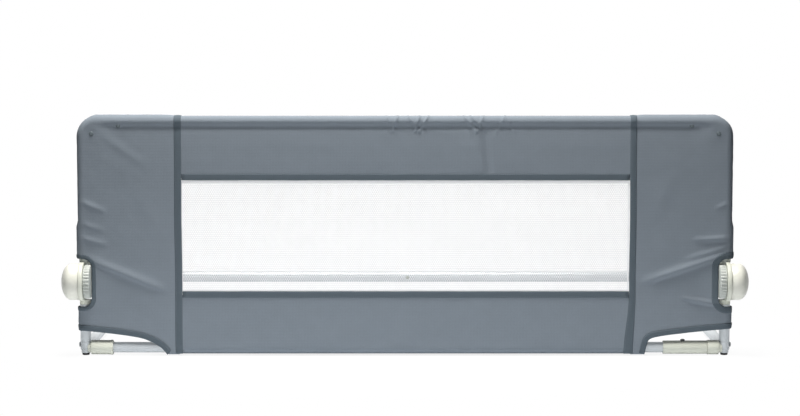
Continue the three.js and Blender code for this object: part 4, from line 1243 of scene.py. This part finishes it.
def crown(base, height, radius, rounds, tip):
    """Profile points of an elliptical crown, from its shoulder to the axis."""
    angles = [radians(90 * i / rounds) for i in range(1, rounds)]
    return [(base + height * sin(a), radius * cos(a)) for a in angles] + [(tip, 0)]


def release_button():
    """The domed button: an elliptical crown on a plain skirt, hollow, with its three prongs."""
    inner = [(22.0, 29.5)] + crown(22.0, 14.4, 29.5, rounds=12, tip=36.4)
    skirt = [(6.4, 31.3), (6.9, 31.9), (21.0, 32.0), (22.0, 31.9)]
    outer = skirt + crown(22.0, 17.0, 31.9, rounds=18, tip=39.0)
    parts = [turned(inner[::-1] + [(6.4, 29.5)] + outer, X_AXIS, HUB, steps=96)]
    for angle in map(radians, (90, 210, 330)):
        place = (UPRIGHT_X, FOLD_Y + 13 * cos(angle), FOLD_Z + 13 * sin(angle))
        parts.append(bar(X_AXIS, 2.2, 3.2, 34.4, place, edge=0.3, steps=16))
    return together(*parts)


# Stitches


def stitch_row(bm, path, length=2.6, gap=1.3, width=0.6, height=0.22):
    """Adds a row of small raised stitches along a path on the front of the cloth."""
    done, ahead = 0.0, gap + length / 2
    for a, b in zip(path, path[1:]):
        reach = (b - a).length
        while ahead <= done + reach:
            way = (b - a) / reach
            turn = Matrix((way, way.cross(-Y_AXIS), -Y_AXIS)).transposed().to_4x4()
            size = Matrix.Diagonal((length / 2, width / 2, height, 1))
            middle = Matrix.Translation(a + way * (ahead - done))
            bmesh.ops.create_cone(bm, cap_ends=True, segments=6, radius1=1.0, radius2=0.6,
                                  depth=2.0, matrix=middle @ turn @ size)
            ahead += length + gap
        done += reach


def side_stitches(side):
    """The rows on a side's seam tape and on its hem and notch bindings."""
    bm = bmesh.new()
    proud, inset, longest_step = 0.75, 1.4, 40
    for offset in (STITCH_INSET - TAPE_HALF[side], TAPE_HALF[side] - STITCH_INSET):
        stitch_row(bm, [seam_point(side, z, offset, proud)
                        for z in stations(HEM_LOW + 3, TOP_Z, 3.0)])
    for path, width in ((hem_path(side), HEM_TAPE), (notch_path(), NOTCH_TAPE[side])):
        reach = width - inset
        row = [cover_point(side, x + way.x * reach, z + way.y * reach, proud)
               for x, z, way in path if x <= UPRIGHT_X]
        end = next((i for i, (a, b) in enumerate(zip(row, row[1:]))
                    if (b - a).length > longest_step), len(row))
        stitch_row(bm, row[:end + 1])
    return on_side(bm, side)


def window_stitches(edge_z):
    """The two rows on a window tape."""
    bm = bmesh.new()
    for offset in (STITCH_INSET - WINDOW_TAPE_HALF, WINDOW_TAPE_HALF - STITCH_INSET):
        stitch_row(bm, [window_point(x, edge_z, offset) - Y_AXIS * 0.1 for x in window_run(12.0)])
    return bm


# Stage

WHITE = (1, 1, 1, 1)

# The white shooting table is little wider than the rail, so the rail's outer rims face the dark
# room and read darker than its front. It carries the shadow, and past it the surround is seen
# white. Both lie just below the feet. Sizes and heights are in metres.
TABLE_HALF_X, TABLE_HALF_Y, TABLE_MIDDLE_Y, TABLE_Z = 0.78, 2.0, -1.1, -0.0004
SURROUND_RADIUS, SURROUND_Z = 30.0, -0.0008
SHADOW_HALF_X, SHADOW_HALF_Y = 0.76, 0.62


def seen_directly(tree):
    """1 for a ray from the camera, in a mirror or through glass, and 0 for light on the object."""
    seen = add_node(tree, "ShaderNodeLightPath").outputs
    either = joined(tree, "MAXIMUM", seen["Is Camera Ray"], seen["Is Glossy Ray"])
    return joined(tree, "MAXIMUM", either, seen["Is Transmission Ray"])


def whitened(tree, kind, shader, share, output):
    """Mixes plain white into a shader by a share and sends it to the output."""
    white = add_node(tree, kind, {"Color": WHITE, "Strength": 1.0})
    mixed = add_node(tree, "ShaderNodeMixShader", {0: share, 1: shader.outputs[0],
                                                   2: white.outputs[0]})
    tree.links.new(mixed.outputs[0], tree.nodes[output].inputs["Surface"])


def surround_finish():
    """The room's floor past the table: dull and dark for the light, and seen as plain white."""
    finish, tree, shader = new_finish("studio_surround_floor", Base_Color=linear("#2b2b2b"),
                                      Roughness=0.9, Specular_IOR_Level=0.0)
    whitened(tree, "ShaderNodeEmission", shader, seen_directly(tree), "Material Output")
    return finish


def floor_finish(tones):
    """Pale studio floor: keeps the soft shadow beside the rail and fades to plain white."""
    finish, tree, shader = new_finish("painted_studio_floor", Roughness=0.9,
                                      Specular_IOR_Level=0.1)
    place = object_place(tree)
    shaded(tree, shader, tones.floor, clouds(tree, place, 60.0), darker=0.985)
    shrunk = add_node(tree, "ShaderNodeMapping", {
        "Vector": place, "Scale": (1 / SHADOW_HALF_X, 1 / SHADOW_HALF_Y, 1.0)})
    reach = add_node(tree, "ShaderNodeVectorMath", {0: shrunk.outputs[0]}, operation="LENGTH")
    away = ranged(tree, reach.outputs["Value"], 0.35, 1.0, tones.floor_glow, 1.0,
                  interpolation_type="SMOOTHSTEP")
    share = joined(tree, "MULTIPLY", away, seen_directly(tree))
    whitened(tree, "ShaderNodeEmission", shader, share, "Material Output")
    return finish


def studio_world(strength):
    """A white surround for the camera and reflections, and a soft even light for the rest."""
    world = bpy.data.worlds.new("studio_surround")
    bpy.context.scene.world = world
    world.use_nodes = True
    tree = world.node_tree
    background = tree.nodes["Background"]
    background.inputs["Color"].default_value = (0.94, 0.97, 1.0, 1)
    background.inputs["Strength"].default_value = strength
    whitened(tree, "ShaderNodeBackground", background, seen_directly(tree), "World Output")


def stage_piece(name, bm, finish, z):
    """Adds a piece of the floor to the stage."""
    shape = as_object(bm, name)
    shape.data.materials.append(finish)
    shape.location.z = z


def aimed(name, data, place, aim):
    """A lamp or camera at a place, turned to a point."""
    shape = bpy.data.objects.new(name, data)
    shape.location = place
    shape.rotation_euler = (Vector(aim) - Vector(place)).to_track_quat("-Z", "Y").to_euler()
    bpy.context.scene.collection.objects.link(shape)
    return shape


def area_lamp(name, place, aim, size, power, colour=(1, 1, 1)):
    """A large soft area lamp aimed at a point."""
    lamp = bpy.data.lights.new(name, "AREA")
    lamp.shape, lamp.size, lamp.size_y = "RECTANGLE", size[0], size[1]
    lamp.energy, lamp.color = power, colour
    aimed(name, lamp, place, aim).visible_camera = False


# What a user would change


def colour_setting(name, description, hex_colour):
    """A colour setting of the panel."""
    return FloatVectorProperty(name=name, description=description, size=4, subtype="COLOR",
                               default=linear(hex_colour), min=0, max=1)


class GuardRailSizes(PropertyGroup):
    """Where the camera stands, and how much it sees."""

    camera_away: FloatProperty(name="Camera distance", description="From the cover to the camera",
                               default=4.0, min=1.0, unit="LENGTH")
    camera_height: FloatProperty(name="Camera height",
                                 description="Height of the camera over the floor",
                                 default=0.62, min=0.1, unit="LENGTH")
    view_width: FloatProperty(name="View width", description="Width of the view at the cover",
                              default=1.4, min=0.2, unit="LENGTH")


class GuardRailColours(PropertyGroup):
    """Colours of the rail's finishes and of its studio's floor."""

    cloth: colour_setting("Cover cloth", "Woven polyester of the cover", "#7a838c")
    tape: colour_setting("Tape", "Woven tape on the seams and edges", "#58626a")
    thread: colour_setting("Thread", "Thread of the stitches", "#6f7a82")
    net: colour_setting("Net", "Knitted net of the window", "#eff0f3")
    tube: colour_setting("Tube", "Silver powder coat of the tubes", "#bfc5c9")
    zinc: colour_setting("Zinc", "Plated steel of the screws and rivets", "#a9adb0")
    stud: colour_setting("Stud", "Blackened steel of the studs", "#596165")
    fitting: colour_setting("Fitting", "Cream plastic of the base fittings", "#c6c9be")
    dome: colour_setting("Button dome", "Ivory plastic of the domed buttons", "#cfd0c7")
    drum: colour_setting("Drum", "Grey plastic of the ribbed drums", "#abb0ac")
    button: colour_setting("Snap button", "Black plastic of the snap button", "#26292b")
    foot: colour_setting("Foot", "Rubber of the foot pads", "#2b2c2d")
    floor: colour_setting("Floor", "Paint of the studio floor", "#ecf0f5")
    floor_glow: FloatProperty(name="Floor glow", default=0.8, min=0.0, max=1.0, subtype="FACTOR",
                              description="Plain white mixed into the floor as seen")


# Operators, one for each piece or group of like pieces


class GUARDRAIL_OT_side_covers(Operator):
    """Make the cover's two ends, notched at the hubs"""

    bl_idname = "guard_rail.side_covers"
    bl_label = "Side Covers"

    def execute(self, context):
        for side, word in SIDES.items():
            bm = side_cover(side)
            sewn(f"side_cover_{word}", bm, "woven_polyester", None,
                 [f"upper_side_panel_{word}", f"lower_side_panel_{word}"], CLOTH_THICK,
                 SIDE_FLAT, [f"upper_tube_{word}", f"lower_upright_{word}"], area=area_of(bm))
        return {"FINISHED"}


class GUARDRAIL_OT_top_cover(Operator):
    """Make the panel above the window with its casing round the top tube"""

    bl_idname = "guard_rail.top_cover"
    bl_label = "Top Cover"

    def execute(self, context):
        flat = (2 * SEAM_X * MM, top_path()[-1][2] * MM)
        sewn("top_cover", top_cover(), "woven_polyester", GUARD, ["top_panel"], CLOTH_THICK,
             flat, ["upper_tube_left", "upper_tube_right"])
        return {"FINISHED"}


class GUARDRAIL_OT_front_skirt(Operator):
    """Make the panel below the window, taken round the front cross tube"""

    bl_idname = "guard_rail.front_skirt"
    bl_label = "Front Skirt"

    def execute(self, context):
        bm = front_skirt()
        width = 2 * SEAM_X * MM
        sewn("front_skirt", bm, "woven_polyester", BASE, ["lower_front_panel"], CLOTH_THICK,
             (width, area_of(bm) / width), ["front_cross_tube"])
        return {"FINISHED"}


class GUARDRAIL_OT_window_net(Operator):
    """Knit the net of the window"""

    bl_idname = "guard_rail.window_net"
    bl_label = "Window Net"

    def execute(self, context):
        bm = knitted_net()
        width, height, area = 2 * SEAM_X * MM, (WINDOW_HIGH - WINDOW_LOW) * MM, area_of(bm)
        shape = piece("window_net", bm, "knitted_net", None,
                      ["upper_window_net", "lower_window_net"], sharp=180)
        bends(shape)
        return {"FINISHED"}


class GUARDRAIL_OT_tapes(Operator):
    """Lay the woven tapes over the seams and the window's edges"""

    bl_idname = "guard_rail.tapes"
    bl_label = "Seam and Window Tapes"

    def execute(self, context):
        for side, word in SIDES.items():
            taped(f"side_seam_tape_{word}", seam_tape(side), None,
                  [f"upper_seam_tape_{word}", f"lower_seam_tape_{word}"], TAPE_THICK,
                  SEAM_TAPE_LENGTH, f"side_cover_{word}")
        flat = (2 * WINDOW_TAPE_HALF * MM, WINDOW_TAPE_LENGTH)
        sewn("top_window_tape", window_tape(WINDOW_HIGH), "woven_tape", GUARD,
             ["upper_window_tape"], TAPE_THICK, flat, ["top_cover"])
        sewn("low_window_tape", window_tape(WINDOW_LOW), "woven_tape", BASE,
             ["lower_window_tape"], TAPE_THICK, flat, ["front_skirt"])
        return {"FINISHED"}


class GUARDRAIL_OT_bindings(Operator):
    """Fold the bindings over the hems and the notches"""

    bl_idname = "guard_rail.bindings"
    bl_label = "Hem and Notch Bindings"

    def execute(self, context):
        for side, word in SIDES.items():
            taped(f"hem_tape_{word}", folded_over(side, hem_path(side), HEM_TAPE), BASE,
                  [f"hem_binding_{word}"], BINDING_THICK, HEM_TAPE_LENGTH, f"side_cover_{word}")
            taped(f"notch_tape_{word}", notch_binding(side), None,
                  [f"upper_notch_binding_{word}", f"lower_notch_binding_{word}"],
                  BINDING_THICK, NOTCH_TAPE_LENGTH, f"side_cover_{word}")
        return {"FINISHED"}


class GUARDRAIL_OT_stitches(Operator):
    """Sew the rows of stitches along the tapes and bindings"""

    bl_idname = "guard_rail.stitches"
    bl_label = "Stitches"

    def execute(self, context):
        for side, word in SIDES.items():
            bends(piece(f"side_stitches_{word}", side_stitches(side), "stitch_thread", None))
        piece("top_window_stitches", window_stitches(WINDOW_HIGH), "stitch_thread", GUARD)
        piece("low_window_stitches", window_stitches(WINDOW_LOW), "stitch_thread", BASE)
        return {"FINISHED"}


class GUARDRAIL_OT_studs(Operator):
    """Set the studs near the cover's upper corners"""

    bl_idname = "guard_rail.studs"
    bl_label = "Cover Studs"

    def execute(self, context):
        for side, word in SIDES.items():
            for kind in ("side_stud", "top_stud"):
                stud = f"{kind}_{word}"
                piece(f"{kind}_cap_{word}", stud_cap(side, stud), "blackened_steel", GUARD, [stud])
        return {"FINISHED"}


class GUARDRAIL_OT_tubes(Operator):
    """Bend the tubes of the guard and the base"""

    bl_idname = "guard_rail.tubes"
    bl_label = "Tubes"

    def execute(self, context):
        coat = "silver_powder_coat"
        for side, word in SIDES.items():
            end = UPPER_LOW.x if side == RIGHT else -node_box("upper_tube_left")[1].x
            walled(piece(f"bent_tube_{word}", on_side(tube_run(end), side), coat, GUARD,
                         [f"upper_tube_{word}"]), TUBE_WALL)
            piece(f"crossbar_tube_{word}", crossbar(side), coat, GUARD, [f"crossbar_{word}"])
        twins("upright_tube", upright, coat, BASE, "lower_upright")
        twins("arm_tube", arm_tube, coat, BASE, "under_mattress_arm")
        cross = tube(X_AXIS, CROSS_LOW.x, CROSS_HIGH.x, (0, 0, CROSS_Z))
        piece("cross_tube", cut(cross, sleeve_hole(4.3)), coat, BASE, ["front_cross_tube"])
        return {"FINISHED"}


class GUARDRAIL_OT_base_fittings(Operator):
    """Mould the corner fittings, the sleeve, the arm caps, the feet and the screws"""

    bl_idname = "guard_rail.base_fittings"
    bl_label = "Base Fittings"

    def execute(self, context):
        cream = "cream_polypropylene"
        for side, word in SIDES.items():
            piece(f"corner_moulding_{word}", corner_fitting(side), cream, BASE,
                  [f"corner_fitting_{word}"], second="silver_powder_coat")
        twins("arm_cap", arm_cap, cream, BASE, "arm_end_cap")
        twins("rubber_foot", foot_pad, "black_rubber", BASE, "foot_pad")
        twins("pan_screw", pan_screw, "zinc_plated_steel", BASE, "corner_screw")
        piece("tube_sleeve", cross_tube_sleeve(), cream, BASE, ["cross_tube_sleeve"])
        return {"FINISHED"}


class GUARDRAIL_OT_hubs(Operator):
    """Mould the hinge hubs: ribbed arm half, shrouded base half, rivet and spring"""

    bl_idname = "guard_rail.hubs"
    bl_label = "Hinge Hubs"

    def execute(self, context):
        twins("ribbed_arm", hinge_arm, "grey_nylon", GUARD, "hinge_arm", sharp=40)
        twins("hub_base", hinge_base, "cream_polypropylene", BASE, "hinge_base")
        twins("hub_rivet", rivet, "zinc_plated_steel", BASE, "hinge_rivet")
        for side, word in SIDES.items():
            coil = piece(f"coil_spring_{word}", on_side(coil_spring(), side), "zinc_plated_steel",
                         BASE, [f"release_spring_{word}"])
            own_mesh(coil)
        return {"FINISHED"}


class GUARDRAIL_OT_buttons(Operator):
    """Mould the domed release buttons and the two snap buttons"""

    bl_idname = "guard_rail.buttons"
    bl_label = "Buttons"

    def execute(self, context):
        for side, word in SIDES.items():
            piece(f"dome_button_{word}", on_side(release_button(), side), "ivory_abs",
                  f"release_{word}", [f"release_button_{word}"], sharp=50)
        snap = snap_button("sleeve_button", Z_AXIS, radius=4.0, reach=4.2, shoulder=1.2)
        piece("sleeve_snap", snap, "black_nylon", "sleeve_catch", ["sleeve_button"])
        snap = snap_button("crossbar_button", Y_AXIS, radius=3.0, reach=4.4, shoulder=1.0)
        piece("crossbar_snap", snap, "grey_nylon", "crossbar_catch", ["crossbar_button"])
        return {"FINISHED"}


class GUARDRAIL_OT_inner_parts(Operator):
    """Give the parts inside the hubs and tubes their finishes"""

    bl_idname = "guard_rail.inner_parts"
    bl_label = "Inner Parts"

    def execute(self, context):
        finishes = {"top_coupler": "silver_powder_coat", "crossbar_coupler": "silver_powder_coat",
                    "lock_ring_left": "grey_nylon", "lock_ring_right": "grey_nylon"}
        for name, finish in finishes.items():
            materials = frame["nodes"][name].data.materials
            materials.clear()
            materials.append(finish_of(finish))
        return {"FINISHED"}


class GUARDRAIL_OT_stage(Operator):
    """Set up the floor, the surround, the lamps and the camera"""

    bl_idname = "guard_rail.stage"
    bl_label = "Studio"

    def execute(self, context):
        scene = context.scene
        sizes, tones = scene.guard_rail_sizes, scene.guard_rail_colours
        bm = bmesh.new()
        bmesh.ops.create_grid(bm, x_segments=1, y_segments=1, size=1.0)
        bmesh.ops.scale(bm, vec=(TABLE_HALF_X, TABLE_HALF_Y, 1), verts=bm.verts)
        bmesh.ops.translate(bm, vec=(0, TABLE_MIDDLE_Y, 0), verts=bm.verts)
        stage_piece("studio_table", bm, floor_finish(tones), TABLE_Z)
        bm = bmesh.new()
        bmesh.ops.create_circle(bm, cap_ends=True, segments=96, radius=SURROUND_RADIUS)
        stage_piece("studio_floor", bm, surround_finish(), SURROUND_Z)
        studio_world(strength=0.03)
        cover_y, cover_z, warm = PLANE_Y * MM, 0.21, (1.0, 0.97, 0.93)
        area_lamp("overhead_softbox", (-0.25, cover_y - 0.25, 2.3), (0, cover_y, 0.1),
                  size=(0.9, 0.8), power=109, colour=warm)
        area_lamp("front_softbox", (-0.3, cover_y - 3.4, 0.7), (0, cover_y, 0.15),
                  size=(2.0, 1.2), power=12)
        place = Vector((0.0, cover_y - sizes.camera_away, sizes.camera_height))
        aim = Vector((0.0, cover_y, cover_z))
        camera = bpy.data.cameras.new("front_camera")
        camera.sensor_width = 36.0
        camera.lens = camera.sensor_width * (aim - place).length / sizes.view_width
        camera.shift_x, camera.shift_y = -0.00625, 0.0349
        camera.clip_end = 100.0
        scene.camera = aimed("front_camera", camera, place, aim)
        scene.view_settings.view_transform = "Standard"
        return {"FINISHED"}


MAKERS = (
    GUARDRAIL_OT_side_covers, GUARDRAIL_OT_top_cover, GUARDRAIL_OT_front_skirt,
    GUARDRAIL_OT_window_net, GUARDRAIL_OT_tapes, GUARDRAIL_OT_bindings, GUARDRAIL_OT_stitches,
    GUARDRAIL_OT_studs, GUARDRAIL_OT_tubes, GUARDRAIL_OT_base_fittings, GUARDRAIL_OT_hubs,
    GUARDRAIL_OT_buttons, GUARDRAIL_OT_inner_parts, GUARDRAIL_OT_stage,
)


class GUARDRAIL_PT_panel(Panel):
    """The sizes, the colours and the pieces in the sidebar"""

    bl_idname = "GUARDRAIL_PT_panel"
    bl_label = "Guard Rail"
    bl_space_type = "VIEW_3D"
    bl_region_type = "UI"
    bl_category = "Guard Rail"

    def draw(self, context):
        column = self.layout.column(align=True)
        for group in (context.scene.guard_rail_sizes, context.scene.guard_rail_colours):
            for name in group.__annotations__:
                column.prop(group, name)
        for maker in MAKERS:
            column.operator(maker.bl_idname)


CLASSES = (GuardRailSizes, GuardRailColours, *MAKERS, GUARDRAIL_PT_panel)


def register():
    """Registers the classes and puts the settings on the scene."""
    for one in CLASSES:
        bpy.utils.register_class(one)
    bpy.types.Scene.guard_rail_sizes = PointerProperty(type=GuardRailSizes)
    bpy.types.Scene.guard_rail_colours = PointerProperty(type=GuardRailColours)


def unregister():
    """Takes the settings and the classes away again."""
    del bpy.types.Scene.guard_rail_colours
    del bpy.types.Scene.guard_rail_sizes
    for one in reversed(CLASSES):
        bpy.utils.unregister_class(one)


def main():
    """Makes every piece in order."""
    register()
    for maker in MAKERS:
        group, name = maker.bl_idname.split(".")
        getattr(getattr(bpy.ops, group), name)()


if __name__ == "__main__":
    main()
